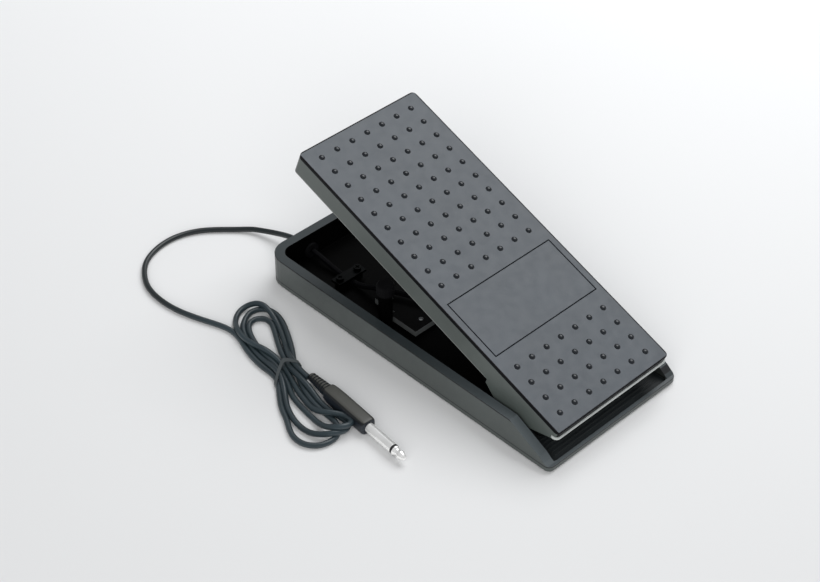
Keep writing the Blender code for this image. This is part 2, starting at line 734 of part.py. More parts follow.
def pinion_and_shaft():
    pitch = math.tau / PINION_TEETH
    towards_hinge = math.pi + PINION_BEARING
    outline = []
    for index in range(PINION_TEETH):
        outline += tooth(towards_hinge - index * pitch, PINION_TEETH, MODULE * 0.9)
    body = slab("pinion", [outline], *PINION_SPAN, "X")
    bore = cylinder("pinion_bore", SHAFT_RADIUS + CLEARANCE, (-0.010, 0, 0), 0.012, "X", 20)
    cut(body, bore, parent=POT_AXES)
    part(body, "pinion", ACETAL, POT_AXES)
    shaft = cylinder("shaft", SHAFT_RADIUS, (PINION_SPAN[0] - 0.001, 0, 0), SHAFT_LENGTH, "X", 20)
    part(shaft, "pot_shaft", STEEL, POT_AXES)


def potentiometer():
    """Its can, the threaded bushing through the bracket with a nut and washer, and its terminals."""
    back = BRACKET_X + BRACKET_THICKNESS + CLEARANCE
    end = back + POT_LENGTH
    bore = SHAFT_RADIUS + CLEARANCE
    bushing_end = -0.0004
    blind = PINION_SPAN[0] - 0.001 + SHAFT_LENGTH + CLEARANCE
    edge = 0.0008
    profile = [
        (0.0, end), (POT_RADIUS - edge, end), (POT_RADIUS, end - edge), (POT_RADIUS, back),
        (BUSHING_RADIUS, back), (BUSHING_RADIUS, bushing_end), (bore, bushing_end), (bore, blind),
        (0.0, blind),
    ]
    part(turned("pot", profile, 24, "X"), "pot_body", BLACK_STEEL, POT_AXES)
    nut = slab("nut", [arc((0, 0), 0.0052, 0, math.tau * 5 / 6, 5)], 0.0001, 0.0020, "X")
    cut(nut, cylinder("nut_bore", BUSHING_RADIUS + CLEARANCE, (-0.01, 0, 0), 0.02, "X"), parent=POT_AXES)
    part(nut, "pot_nut", BRASS, POT_AXES)
    washer = ring_profile(BUSHING_RADIUS + CLEARANCE, 0.0056, 0.0023, BRACKET_X - CLEARANCE)
    part(turned("washer", washer, 24, "X"), "pot_washer", STEEL, POT_AXES)
    terminals()


def terminals():
    """Three solder tags on a strip of laminate beside the can, as one comb."""
    near = POT_RADIUS + CLEARANCE
    middle = 0.0120
    far = 0.0175
    comb = [(near, -0.0052), (middle, -0.0052)]
    for z in (-0.0045, 0.0, 0.0045):
        comb += [(middle, z - 0.0008), (far, z - 0.0008), (far, z + 0.0008), (middle, z + 0.0008)]
    comb += [(middle, 0.0052), (near, 0.0052)]
    part(slab("terminals", [comb], 0.0088, 0.0102, "X"), "pot_terminals", PHENOLIC, POT_AXES)


def bracket():
    """An angle bracket: a wall that holds the potentiometer and a foot on two bosses."""
    foot_low = BOSS_Z + CLEARANCE
    foot_high = foot_low + BRACKET_THICKNESS
    low_y = BRACKET_Y - BRACKET_HALF_LENGTH
    high_y = BRACKET_Y + BRACKET_HALF_LENGTH
    inset = 0.0002
    wall_high = (BRACKET_X + BRACKET_THICKNESS, high_y, BRACKET_TOP_Z)
    body = box("bracket", (BRACKET_X, low_y, foot_low), wall_high)
    foot = (BRACKET_X + inset, low_y + inset, foot_low + 0.00001)
    join(body, box("bracket_foot", foot, (BRACKET_FOOT_END_X, high_y - inset, foot_high)))
    cut(body, cylinder("bushing_hole", BUSHING_RADIUS + CLEARANCE, (0.0, BRACKET_Y, POT_Z), 0.01, "X"))
    for where, side in (("heel", -1), ("toe", 1)):
        y = BRACKET_Y + side * BRACKET_SCREW_OFFSET
        cut(body, screw_hole(f"foot_hole_{where}", BRACKET_SCREW_X, y, 0.0, 0.030))
        screw(f"bracket_screw_{where}", (BRACKET_SCREW_X, y, foot_high + CLEARANCE), 0.0055, STEEL)
    part(body, "pot_bracket", STEEL)


# ---------------------------------------------------------------- cord inside the base
def smooth_route(points, spacing):
    """Points at an even spacing on a smooth curve through the given points."""
    knots = [Vector(p) for p in points]
    knots = [2 * knots[0] - knots[1]] + knots + [2 * knots[-1] - knots[-2]]
    fine = []
    for a, b, c, d in zip(knots, knots[1:], knots[2:], knots[3:]):
        for i in range(40):
            t = i / 40
            bend = (2 * a - 5 * b + 4 * c - d) * t ** 2 + (3 * b - a - 3 * c + d) * t ** 3
            fine.append((2 * b + (c - a) * t + bend) / 2)
    fine.append(knots[-2])
    length = sum((q - p).length for p, q in zip(fine, fine[1:]))
    count = max(2, round(length / spacing))
    step = length / count
    route = [fine[0]]
    gone = 0.0
    for p, q in zip(fine, fine[1:]):
        gone += (q - p).length
        if gone >= step * len(route) - 1e-9 and len(route) < count:
            route.append(q)
    route.append(fine[-1])
    return route


def tube(name, points, radius, look, spacing):
    curve = bpy.data.curves.new(name, "CURVE")
    curve.dimensions = "3D"
    curve.bevel_depth = radius
    curve.bevel_resolution = 2
    curve.use_fill_caps = True
    route = smooth_route(points, spacing)
    spline = curve.splines.new("POLY")
    spline.points.add(len(route) - 1)
    for point, place in zip(spline.points, route):
        point.co = (*place, 1.0)
    obj = bpy.data.objects.new(name, curve)
    curve.materials.append(look)
    PARTS.objects.link(obj)
    return obj


CORD_INSIDE = (
    (CORD_X, 0.1140, CORD_EXIT_Z),
    (CORD_X, 0.1060, 0.0087),
    (CORD_X, 0.0930, 0.0066),
    (CORD_X, 0.0800, 0.0061),
    (-0.0237, 0.0680, 0.0071),
    (-0.0205, 0.0560, 0.0106),
    (-0.0110, 0.0350, 0.0112),
    (-0.0020, 0.0160, 0.0112),
    (0.0060, 0.0000, 0.0125),
    (0.0095, -0.0120, 0.0170),
    (0.0095, -0.0200, 0.0210),
)


def grommet():
    """A rubber gland through the toe wall, with a short tapered nose outside."""
    nose = 0.0080
    bore = CORD_RADIUS + CLEARANCE
    neck = CORD_HOLE_RADIUS - CLEARANCE
    inside = -RIM_WIDTH - CLEARANCE
    profile = [
        (bore, nose), (0.0030, nose), (0.0042, 0.0018), (0.0062, 0.0015), (0.0062, CLEARANCE),
        (neck, CLEARANCE), (neck, inside), (0.0052, inside), (0.0052, inside - 0.0015),
        (bore, inside - 0.0015), (bore, nose),
    ]
    part(turned("grommet", profile, 20, "Y", (CORD_X, TOE_Y, CORD_EXIT_Z)), "cord_grommet", RUBBER)


def cord_clamp():
    """A strap across the cord, on two pads that stand on the tray's bosses."""
    low = BOSS_Z + 0.0012 + CLEARANCE
    high = low + 0.0016
    clamp = box("clamp", (CORD_X - 0.0115, CLAMP_Y - 0.0040, low), (CORD_X + 0.0115, CLAMP_Y + 0.0040, high))
    for across, side in SIDES:
        x = CORD_X + side * CLAMP_BOSS_OFFSET
        pad = cylinder(f"clamp_pad_{across}", 0.0032, (x, CLAMP_Y, BOSS_Z + CLEARANCE), 0.0020, "Z", 16)
        join(clamp, pad)
    for across, side in SIDES:
        x = CORD_X + side * CLAMP_BOSS_OFFSET
        cut(clamp, screw_hole(f"clamp_hole_{across}", x, CLAMP_Y, 0.0, 0.030))
        screw(f"clamp_screw_{across}", (x, CLAMP_Y, high + CLEARANCE), 0.0065, BLACK_STEEL)
    part(clamp, "cord_clamp", BLACK_STEEL)


# ---------------------------------------------------------------- cord, hank, tie and plug on the floor
LEAD_ROUTE = (
    (CORD_X, 0.1314, CORD_EXIT_Z),
    (-0.0252, 0.1372, 0.0086),
    (-0.0262, 0.1447, 0.0068),
    (-0.0294, 0.1566, 0.0043),
    (-0.0354, 0.1681, 0.0027),
    (-0.0545, 0.1865, LAID_Z),
    (-0.0675, 0.1932, LAID_Z),
    (-0.0800, 0.1952, LAID_Z),
    (-0.0935, 0.1928, LAID_Z),
    (-0.1060, 0.1862, LAID_Z),
    (-0.1170, 0.1712, LAID_Z),
    (-0.1203, 0.1592, LAID_Z),
    (-0.1207, 0.1447, LAID_Z),
    (-0.1183, 0.1314, LAID_Z),
    (-0.1133, 0.1162, 0.0030),
    (-0.1074, 0.0985, 0.0040),
)
# the tied waist of the hank
WAIST_LEFT_X = -0.1215
WAIST_RIGHT_X = -0.0990
TIE_Y = 0.0405
TIE_WIDTH = 0.003
TIE_THICKNESS = 0.0009


def hank():
    """The tied hank as one solid: a broad loop at the top, a narrow waist and a fan at the bottom."""
    outline = [(-0.1104, 0.0965), (-0.1040, 0.0985)]
    outline += arc((-0.0905, 0.1000), 0.0110, math.radians(150), math.radians(0), 7)
    outline += [(-0.0790, 0.0860), (-0.0855, 0.0700), (-0.0935, 0.0560)]
    outline += [(WAIST_RIGHT_X, 0.0430), (WAIST_RIGHT_X - 0.0005, 0.0335), (-0.1082, 0.0330)]
    outline += [(-0.1100, 0.0160), (-0.1135, 0.0000), (-0.1160, -0.0100)]
    outline += arc((-0.1280, -0.0080), 0.0120, math.radians(-30), math.radians(-150), 6)
    outline += arc((-0.1370, -0.0040), 0.0080, math.radians(-150), math.radians(-210), 3)
    outline += [(-0.1370, 0.0120), (-0.1270, 0.0290), (WAIST_LEFT_X, 0.0400)]
    outline += [(WAIST_LEFT_X, 0.0530), (-0.1200, 0.0670), (-0.1140, 0.0800)]
    part(slab("hank", [outline], HANK_BOTTOM_Z, HANK_TOP_Z), "cord_hank", CORD_JACKET)


def cord_tie():
    """A flat band around the waist of the hank."""
    margin = 0.0014
    low = Vector((WAIST_LEFT_X - margin, TIE_Y - TIE_WIDTH / 2, HANK_BOTTOM_Z - CLEARANCE))
    high = Vector((WAIST_RIGHT_X + margin, TIE_Y + TIE_WIDTH / 2, HANK_TOP_Z + CLEARANCE))
    wall = Vector((TIE_THICKNESS, 0.0, TIE_THICKNESS))
    through = Vector((0.0, TIE_WIDTH, 0.0))
    outer = box("tie", low - wall, high + wall)
    cut(outer, box("tie_inside", low - through, high + through))
    part(outer, "cord_tie", TIE_PLASTIC)


PLUG_AXES = axes("plug_axis", PLUG_START, (0.0, math.radians(90), PLUG_YAW))


def relief():
    """A ribbed strain relief that tapers towards the cord."""
    pitch = RELIEF_LENGTH / RELIEF_RINGS
    ring_length = 0.0017
    ring_height = 0.0009
    profile = [(0.0, -CLEARANCE)]
    for index in range(RELIEF_RINGS):
        high = -CLEARANCE - index * pitch
        radius = 0.0040 - 0.0010 * index / (RELIEF_RINGS - 1)
        profile += [(radius, high), (radius, high - ring_length)]
        profile += [(radius - ring_height, high - ring_length), (radius - ring_height, high - pitch)]
    profile.append((0.0, -CLEARANCE - RELIEF_LENGTH))
    part(turned("relief", profile, 12), "plug_relief", PLUG_PLASTIC, PLUG_AXES)


def plug():
    """The plug lies along its own Z, from the strain relief to the tip."""
    relief()
    handle = [
        (0.0, HANDLE_LENGTH), (HANDLE_RADIUS - 0.0008, HANDLE_LENGTH),
        (HANDLE_RADIUS, HANDLE_LENGTH - 0.0008), (HANDLE_RADIUS, 0.0030), (HANDLE_RADIUS - 0.0006, 0.0),
        (0.0, 0.0),
    ]
    part(turned("handle", handle, 24), "plug_handle", PLUG_PLASTIC, PLUG_AXES)
    sleeve_low = HANDLE_LENGTH + CLEARANCE
    sleeve = cylinder("sleeve", SLEEVE_RADIUS, (0, 0, sleeve_low), SLEEVE_LENGTH)
    part(sleeve, "plug_sleeve", NICKEL, PLUG_AXES)
    band_low = sleeve_low + SLEEVE_LENGTH + CLEARANCE
    band = cylinder("band", SLEEVE_RADIUS, (0, 0, band_low), BAND_LENGTH)
    part(band, "plug_band", BAND_PLASTIC, PLUG_AXES)
    tip_low = band_low + BAND_LENGTH + CLEARANCE
    outline = (
        (0.0, 0.0090), (0.0011, 0.0088), (0.0019, 0.0077), (0.0029, 0.0050), (0.0023, 0.0034),
        (0.0024, 0.0026), (SLEEVE_RADIUS, 0.0016), (SLEEVE_RADIUS, 0.0), (0.0, 0.0),
    )
    tip = [(radius, tip_low + height) for radius, height in outline]
    part(turned("tip", tip, 24), "plug_tip", NICKEL, PLUG_AXES)


# ---------------------------------------------------------------- build
tray()
feet()
stops()
mounting_plate()
hinge()
foot_plate()
bushes()
gear_sector()
pinion_and_shaft()
potentiometer()
bracket()
grommet()
tube("cord_inner", CORD_INSIDE, CORD_RADIUS, CORD_JACKET, 0.006)
cord_clamp()
tube("cord_lead", LEAD_ROUTE, CORD_RADIUS, CORD_JACKET, 0.0055)
hank()
cord_tie()
plug()
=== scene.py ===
"""Finished look of the rocker foot pedal: fine surfaces, materials, the cord, light and camera.

Metres, +Z up. The frame's own places are used throughout. MM turns millimetres into metres.
"""

import json
import math

import bmesh
import bpy
import numpy as np
from mathutils import Matrix, Vector


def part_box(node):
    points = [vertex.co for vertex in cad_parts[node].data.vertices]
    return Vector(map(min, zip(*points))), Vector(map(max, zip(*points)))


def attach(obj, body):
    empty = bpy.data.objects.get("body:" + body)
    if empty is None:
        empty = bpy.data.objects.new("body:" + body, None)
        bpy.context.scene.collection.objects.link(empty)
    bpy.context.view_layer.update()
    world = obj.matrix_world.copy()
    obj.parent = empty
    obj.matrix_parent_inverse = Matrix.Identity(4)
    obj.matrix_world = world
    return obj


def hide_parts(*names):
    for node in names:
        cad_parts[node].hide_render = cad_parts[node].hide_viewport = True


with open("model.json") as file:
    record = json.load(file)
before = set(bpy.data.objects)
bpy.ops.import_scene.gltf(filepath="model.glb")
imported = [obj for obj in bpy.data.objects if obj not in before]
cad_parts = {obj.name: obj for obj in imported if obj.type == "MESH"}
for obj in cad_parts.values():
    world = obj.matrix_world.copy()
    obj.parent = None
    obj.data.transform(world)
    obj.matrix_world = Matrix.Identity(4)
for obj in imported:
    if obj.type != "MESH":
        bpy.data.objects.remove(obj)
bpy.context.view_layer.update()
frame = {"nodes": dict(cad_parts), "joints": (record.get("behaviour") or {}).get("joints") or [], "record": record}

MM = 0.001
NODES = frame["nodes"]
JOINTS = {joint["name"]: joint for joint in frame["joints"]}
PIVOT = Vector(JOINTS["treadle_hinge"]["pos_m"])
UP = (0.0, 0.0, 1.0)

# the tray: the tops of its rim and heel wall, where its cheeks begin to slope down, its well's outline
# (painted shade fills the well), how far from the heel the well turns from its shallow floor to its deep one,
# how wide the painted dark lines on its edges are (painted dark reflection on the upper edges, painted
# contact shadow along the foot), and how far under an edge they begin
RIM_Z = 22.0 * MM
SLOPE_TOP_Y = -90.9 * MM
HEEL_WALL_Z = 5.0 * MM
HEEL_WALL = 2.3 * MM
WELL_WALL = 6.4 * MM
WELL_CORNER = 8.3 * MM
WELL_DEEPENS = (36 * MM, 44 * MM)
RIM_LINE = 0.9 * MM
HEEL_LINE = 0.8 * MM
FOOT_SHADOW = 0.9 * MM
SKIN = 0.03 * MM

# the tread plate: its tilt and outline, the painted dark lines (painted dark reflection) round its top's edge, its
# hinge's place along from its heel edge and down from its top face, its skirt, its domes, and the lip along its
# heel
PLATE_TILT = math.radians(20.72)
PLATE_UP = (0.0, -math.sin(PLATE_TILT), math.cos(PLATE_TILT))
PLATE_FORWARD = (0.0, math.cos(PLATE_TILT), math.sin(PLATE_TILT))
PLATE_HALF_WIDTH = 48.5 * MM
PLATE_LENGTH = 232.7 * MM
EDGE_LINE = 0.8 * MM
EDGE_DROP = 2.1 * MM
HEEL_EDGE_DROP = 4.8 * MM
HINGE_ALONG = 34.1 * MM
HINGE_DOWN = 26.6 * MM
SKIRT_DEPTH = 15.5 * MM
HEEL_LIP_DEPTH = 6.5 * MM
EAR_FRONT = 55.0 * MM
DOME_RADIUS = 1.98 * MM
DOME_HEIGHT = 1.0 * MM
DOME_PITCH_ACROSS = 12.5 * MM
DOME_PITCH_ALONG = 12.2 * MM
DOME_FIELDS = ((10.1 * MM, 4), (113.3 * MM, 10))
DOME_COLUMNS = 7
DOME_SIDES = 20
DOME_RINGS = 5
LIP_RADIUS = 0.9 * MM
LIP_CORNER = 3.0 * MM
LIP_OUT = 0.2 * MM
LIP_END_IN = 1.6 * MM
LIP_END_ALONG = 1.0 * MM


# ---------------------------------------------------------------- camera
CAMERA_AZIMUTH = math.radians(-44.45)
CAMERA_ELEVATION = math.radians(40.20)
CAMERA_ROLL = math.radians(0.27)
CAMERA_PLACE = (-0.6407, -0.6039, 0.7736)
LENS = 82.33


def make_camera():
    data = bpy.data.cameras.new("camera")
    data.lens = LENS
    data.sensor_width = 36.0
    camera = bpy.data.objects.new("camera", data)
    bpy.context.scene.collection.objects.link(camera)
    back = Vector((
        math.sin(CAMERA_AZIMUTH) * math.cos(CAMERA_ELEVATION),
        -math.cos(CAMERA_AZIMUTH) * math.cos(CAMERA_ELEVATION),
        math.sin(CAMERA_ELEVATION),
    ))
    turn = back.to_track_quat("Z", "Y").to_matrix().to_4x4() @ Matrix.Rotation(CAMERA_ROLL, 4, "Z")
    camera.matrix_world = Matrix.Translation(CAMERA_PLACE) @ turn
    bpy.context.scene.camera = camera


# ---------------------------------------------------------------- materials
class Look:
    """A Principled material with a few helpers for its node tree."""

    def __init__(self, name, colour, roughness, metallic=0.0, specular=0.5):
        self.material = bpy.data.materials.new(name)
        self.material.use_nodes = True
        self.nodes = self.material.node_tree.nodes
        self.links = self.material.node_tree.links
        self.shader = self.nodes["Principled BSDF"]
        self.shader.inputs["Base Color"].default_value = (*colour, 1.0)
        self.shader.inputs["Roughness"].default_value = roughness
        self.shader.inputs["Metallic"].default_value = metallic
        self.shader.inputs["Specular IOR Level"].default_value = specular
        self.colour = colour
        self.roughness = roughness
        coordinates = self.nodes.new("ShaderNodeTexCoord")
        self.place = coordinates.outputs["Object"]
        self.facing = coordinates.outputs["Normal"]
        self.height = None

    def stretched(self, scale):
        mapping = self.nodes.new("ShaderNodeMapping")
        mapping.inputs["Scale"].default_value = scale
        self.links.new(self.place, mapping.inputs["Vector"])
        return mapping.outputs["Vector"]

    def noise(self, size, detail=3.0, place=None):
        """Noise whose lumps are about `size` metres across."""
        node = self.nodes.new("ShaderNodeTexNoise")
        node.inputs["Scale"].default_value = 1.0 / size
        node.inputs["Detail"].default_value = detail
        self.links.new(place or self.place, node.inputs["Vector"])
        return node.outputs["Fac"]

    def ramp(self, source, low, high, start=0.3, end=0.7):
        """A value that goes from `low` to `high` while its source goes from `start` to `end`."""
        node = self.nodes.new("ShaderNodeMapRange")
        node.inputs["From Min"].default_value = start
        node.inputs["From Max"].default_value = end
        node.inputs["To Min"].default_value = low
        node.inputs["To Max"].default_value = high
        self.links.new(source, node.inputs["Value"])
        return node.outputs["Result"]

    def tint(self, source, dark, light):
        """Colour variation between the base colour times `dark` and times `light`."""
        mix = self.nodes.new("ShaderNodeMix")
        mix.data_type = "RGBA"
        mix.inputs["A"].default_value = (*(c * dark for c in self.colour), 1.0)
        mix.inputs["B"].default_value = (*(c * light for c in self.colour), 1.0)
        self.links.new(source, mix.inputs["Factor"])
        self.links.new(mix.outputs["Result"], self.shader.inputs["Base Color"])

    def mottle(self, size, dark, light):
        """Soft patches of slightly darker and lighter colour, `size` metres across."""
        self.tint(self.ramp(self.noise(size), 0.0, 1.0), dark, light)

    def vary_roughness(self, source, spread):
        value = self.ramp(source, self.roughness - spread, self.roughness + spread)
        self.links.new(value, self.shader.inputs["Roughness"])

    def round_edges(self, radius):
        """Shades every sharp edge as if it were rounded."""
        node = self.nodes.new("ShaderNodeBevel")
        node.samples = 6
        node.inputs["Radius"].default_value = radius
        self.height = node.outputs["Normal"]
        self.links.new(self.height, self.shader.inputs["Normal"])

    def along(self, vector, direction):
        """How far a vector socket reaches along a fixed direction."""
        node = self.nodes.new("ShaderNodeVectorMath")
        node.operation = "DOT_PRODUCT"
        node.inputs[1].default_value = direction
        self.links.new(vector, node.inputs[0])
        return node.outputs["Value"]

    def axes(self):
        """The x, y and z sockets of the place on the surface."""
        node = self.nodes.new("ShaderNodeSeparateXYZ")
        self.links.new(self.place, node.inputs["Vector"])
        return node.outputs

    def from_pivot(self):
        node = self.nodes.new("ShaderNodeVectorMath")
        node.operation = "SUBTRACT"
        node.inputs[1].default_value = PIVOT
        self.links.new(self.place, node.inputs[0])
        return node.outputs["Vector"]

    def math(self, operation, first, second=0.0):
        node = self.nodes.new("ShaderNodeMath")
        node.operation = operation
        for socket, value in zip(node.inputs, (first, second)):
            if isinstance(value, float):
                socket.default_value = value
            else:
                self.links.new(value, socket)
        return node.outputs["Value"]

    def below(self, value, limit):
        return self.math("LESS_THAN", value, limit)

    def above(self, value, limit):
        return self.math("GREATER_THAN", value, limit)

    def both(self, first, second):
        return self.math("MULTIPLY", first, second)

    def either(self, first, second):
        return self.math("MAXIMUM", first, second)

    def band(self, value, low, high):
        """1 where a value lies between two limits."""
        return self.both(self.above(value, low), self.below(value, high))

    def bump(self, source, strength, distance):
        node = self.nodes.new("ShaderNodeBump")
        node.inputs["Strength"].default_value = strength
        node.inputs["Distance"].default_value = distance
        self.links.new(source, node.inputs["Height"])
        if self.height:
            self.links.new(self.height, node.inputs["Normal"])
        self.height = node.outputs["Normal"]
        self.links.new(self.height, self.shader.inputs["Normal"])


def moulded_plastic(name, colour, roughness, grain=0.25, specular=0.5, edge=0.0):
    """Moulded plastic: fine spark grain, broad faint mottling, and edges rounded by the given radius."""
    look = Look(name, colour, roughness, specular=specular)
    if edge:
        look.round_edges(edge)
    look.tint(look.ramp(look.noise(40 * MM, 2.0), 0.0, 1.0), 0.90, 1.12)
    look.vary_roughness(look.noise(6 * MM, 3.0), 0.04)
    look.bump(look.noise(0.35 * MM, 2.0), grain, 0.05 * MM)
    return look


def shade_by_facing(look, up, side, edge, top):
    """Paints light and shade: walls, rounded upper edges and upward faces coloured apart, in place of the look's
    plain colour.
    """
    facing = look.along(look.facing, up)
    ramp = look.nodes.new("ShaderNodeValToRGB")
    stops = ramp.color_ramp.elements
    stops[0].position = 0.18
    stops[0].color = (*side, 1.0)
    stops[1].position = 0.30
    stops[1].color = (*edge, 1.0)
    for position, colour in ((0.78, edge), (0.86, top)):
        stops.new(position).color = (*colour, 1.0)
    look.links.new(facing, ramp.inputs["Fac"])
    mixer = look.shader.inputs["Base Color"].links[0].from_node
    for socket, amount in (("A", 0.92), ("B", 1.10)):
        scale = look.nodes.new("ShaderNodeVectorMath")
        scale.operation = "SCALE"
        scale.inputs["Scale"].default_value = amount
        look.links.new(ramp.outputs["Color"], scale.inputs[0])
        look.links.new(scale.outputs["Vector"], mixer.inputs[socket])


def recolour(look, part, colour):
    """Colours the part of a look that a mask picks out."""
    base = look.shader.inputs["Base Color"].links[0].from_socket
    mix = look.nodes.new("ShaderNodeMix")
    mix.data_type = "RGBA"
    look.links.new(part, mix.inputs["Factor"])
    look.links.new(base, mix.inputs["A"])
    mix.inputs["B"].default_value = (*colour, 1.0)
    look.links.new(mix.outputs["Result"], look.shader.inputs["Base Color"])


def dull(look, part, specular):
    """Takes the gloss off the part of a look that a mask picks out."""
    look.links.new(look.ramp(part, 0.5, specular, 0.0, 1.0), look.shader.inputs["Specular IOR Level"])


def dark_line(look, part):
    """A line where an upper edge turns down into its wall and reflects nothing bright."""
    recolour(look, part, (0.003, 0.003, 0.004))
    dull(look, part, 0.06)


def paint_lower_edge_highlight(look, colour):
    """Paints a highlight on the skirt's lower edge, ahead of its ears; along the heel the lip piece carries it."""
    upwards = look.along(look.from_pivot(), PLATE_UP)
    forwards = look.along(look.from_pivot(), PLATE_FORWARD)
    skirt_end = HINGE_DOWN - SKIRT_DEPTH
    ears_end = EAR_FRONT - HINGE_ALONG
    low = look.ramp(upwards, 1.0, 0.0, skirt_end + 0.5 * MM, skirt_end + 1.0 * MM)
    ahead = look.ramp(forwards, 0.0, 1.0, ears_end, ears_end + 4 * MM)
    recolour(look, look.both(low, ahead), colour)


def well_shade_mask(look):
    """1 inside the tray's round-cornered well, which is painted dark as painted shade, and a little less on its
    shallow ribbed heel.
    """
    low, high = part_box("base_tray")
    x, y, _ = look.axes()
    past_side = look.math("SUBTRACT", look.math("ABSOLUTE", x), high[0] - WELL_WALL - WELL_CORNER)
    past_toe = look.math("SUBTRACT", y, high[1] - WELL_WALL - WELL_CORNER)
    side_square = look.math("POWER", look.math("MAXIMUM", past_side), 2.0)
    toe_square = look.math("POWER", look.math("MAXIMUM", past_toe), 2.0)
    outline = look.below(look.math("ADD", side_square, toe_square), WELL_CORNER ** 2)
    heel = look.above(y, low[1] + HEEL_WALL)
    shallow_end, deep_start = WELL_DEEPENS
    depth = look.ramp(y, 0.75, 1.0, low[1] + shallow_end, low[1] + deep_start)
    return look.both(outline, look.both(heel, depth))


def rim_highlight_mask(look):
    """Painted highlight on the rim's top: 1 on the sloping cheek's top, fading out along the rim towards the toe,
    and on the right side.
    """
    x, y, _ = look.axes()
    upward = look.ramp(look.along(look.facing, UP), 0.0, 1.0, 0.68, 0.76)
    leftward = look.ramp(x, 1.0, 0.0, 20 * MM, 45 * MM)
    heelward = look.ramp(y, 1.0, 0.0, SLOPE_TOP_Y, -5 * MM)
    return look.both(look.both(upward, leftward), heelward)


def upper_edge_mask(look):
    """1 on the thin line where the rim and the heel wall turn down into the tray's walls."""
    z = look.axes()[2]
    facing = look.along(look.facing, UP)
    rim = look.both(look.band(z, RIM_Z - RIM_LINE, RIM_Z - SKIN), look.below(facing, 0.68))
    heel = look.both(look.band(z, HEEL_WALL_Z - HEEL_LINE, HEEL_WALL_Z - SKIN), look.below(facing, 0.9))
    return look.either(rim, heel)


def rubber(name, colour):
    look = Look(name, colour, 0.75, specular=0.12)
    look.mottle(5 * MM, 0.8, 1.25)
    look.bump(look.noise(0.5 * MM), 0.4, 0.08 * MM)
    return look.material


def plated_steel(name, colour, roughness):
    look = Look(name, colour, roughness, metallic=1.0)
    streaks = look.noise(1.0 * MM, 4.0, look.stretched((0.15, 1.0, 1.0)))
    look.mottle(12 * MM, 0.85, 1.10)
    look.vary_roughness(streaks, 0.07)
    look.bump(streaks, 0.15, 0.02 * MM)
    return look.material


def bright_nickel():
    look = Look("bright_nickel", (0.97, 0.965, 0.95), 0.20, metallic=0.6)
    look.mottle(8 * MM, 0.94, 1.04)
    look.vary_roughness(look.noise(2 * MM, 4.0, look.stretched((1.0, 0.2, 1.0))), 0.04)
    look.bump(look.noise(0.6 * MM), 0.05, 0.01 * MM)
    return look.material


def cord_jacket():
    """Dark blue-grey jacket, painted nearly black from the bow on to the tray as painted shade."""
    look = Look("cord_jacket", (0.020, 0.031, 0.037), 0.38, specular=0.60)
    look.mottle(25 * MM, 0.80, 1.25)
    # painted shade: the cord darkened from the bow on to the tray
    bow = look.ramp(look.axes()[1], 0.0, 0.8, 112 * MM, 150 * MM)
    recolour(look, bow, (0.005, 0.007, 0.007))
    look.vary_roughness(look.noise(4 * MM), 0.05)
    look.bump(look.noise(0.8 * MM, 3.0), 0.25, 0.05 * MM)
    return look.material


def turned_nylon(name, colour):
    look = Look(name, colour, 0.45)
    look.shader.inputs["Subsurface Weight"].default_value = 0.05
    look.mottle(6 * MM, 0.92, 1.05)
    look.vary_roughness(look.noise(1.5 * MM), 0.05)
    look.bump(look.noise(0.4 * MM), 0.2, 0.03 * MM)
    return look.material


def laminate():
    look = Look("laminate", (0.21, 0.11, 0.05), 0.55)
    weave = look.noise(0.8 * MM, 2.0, look.stretched((1.0, 0.25, 1.0)))
    look.tint(look.ramp(weave, 0.0, 1.0), 0.75, 1.2)
    look.bump(weave, 0.3, 0.03 * MM)
    return look.material


def tray_look():
    """Tray plastic with painted light and shade: faces coloured apart by facing, a painted highlight along the
    left rim, painted dark reflections on its upper edges, a painted contact shadow along its foot, and a dull
    black well of painted shade.
    """
    look = moulded_plastic("tray_plastic", (0.055, 0.066, 0.064), 0.42, edge=0.6 * MM)
    side = (0.062, 0.072, 0.069)
    edge = (0.010, 0.011, 0.012)
    top = (0.026, 0.034, 0.037)
    # painted light and shade by facing: lighter walls, dark rounded upper edges, darker tops
    shade_by_facing(look, UP, side, edge, top)
    # painted highlight along the left rim's top
    recolour(look, rim_highlight_mask(look), (0.080, 0.094, 0.100))
    dark_line(look, upper_edge_mask(look))
    # painted contact shadow: a dark band along the tray's foot
    recolour(look, look.below(look.axes()[2], FOOT_SHADOW), (0.006, 0.007, 0.007))
    # painted shade: the well's floor and walls painted nearly black and dull
    well = well_shade_mask(look)
    recolour(look, well, (0.0012, 0.0012, 0.0012))
    dull(look, well, 0.03)
    return look.material


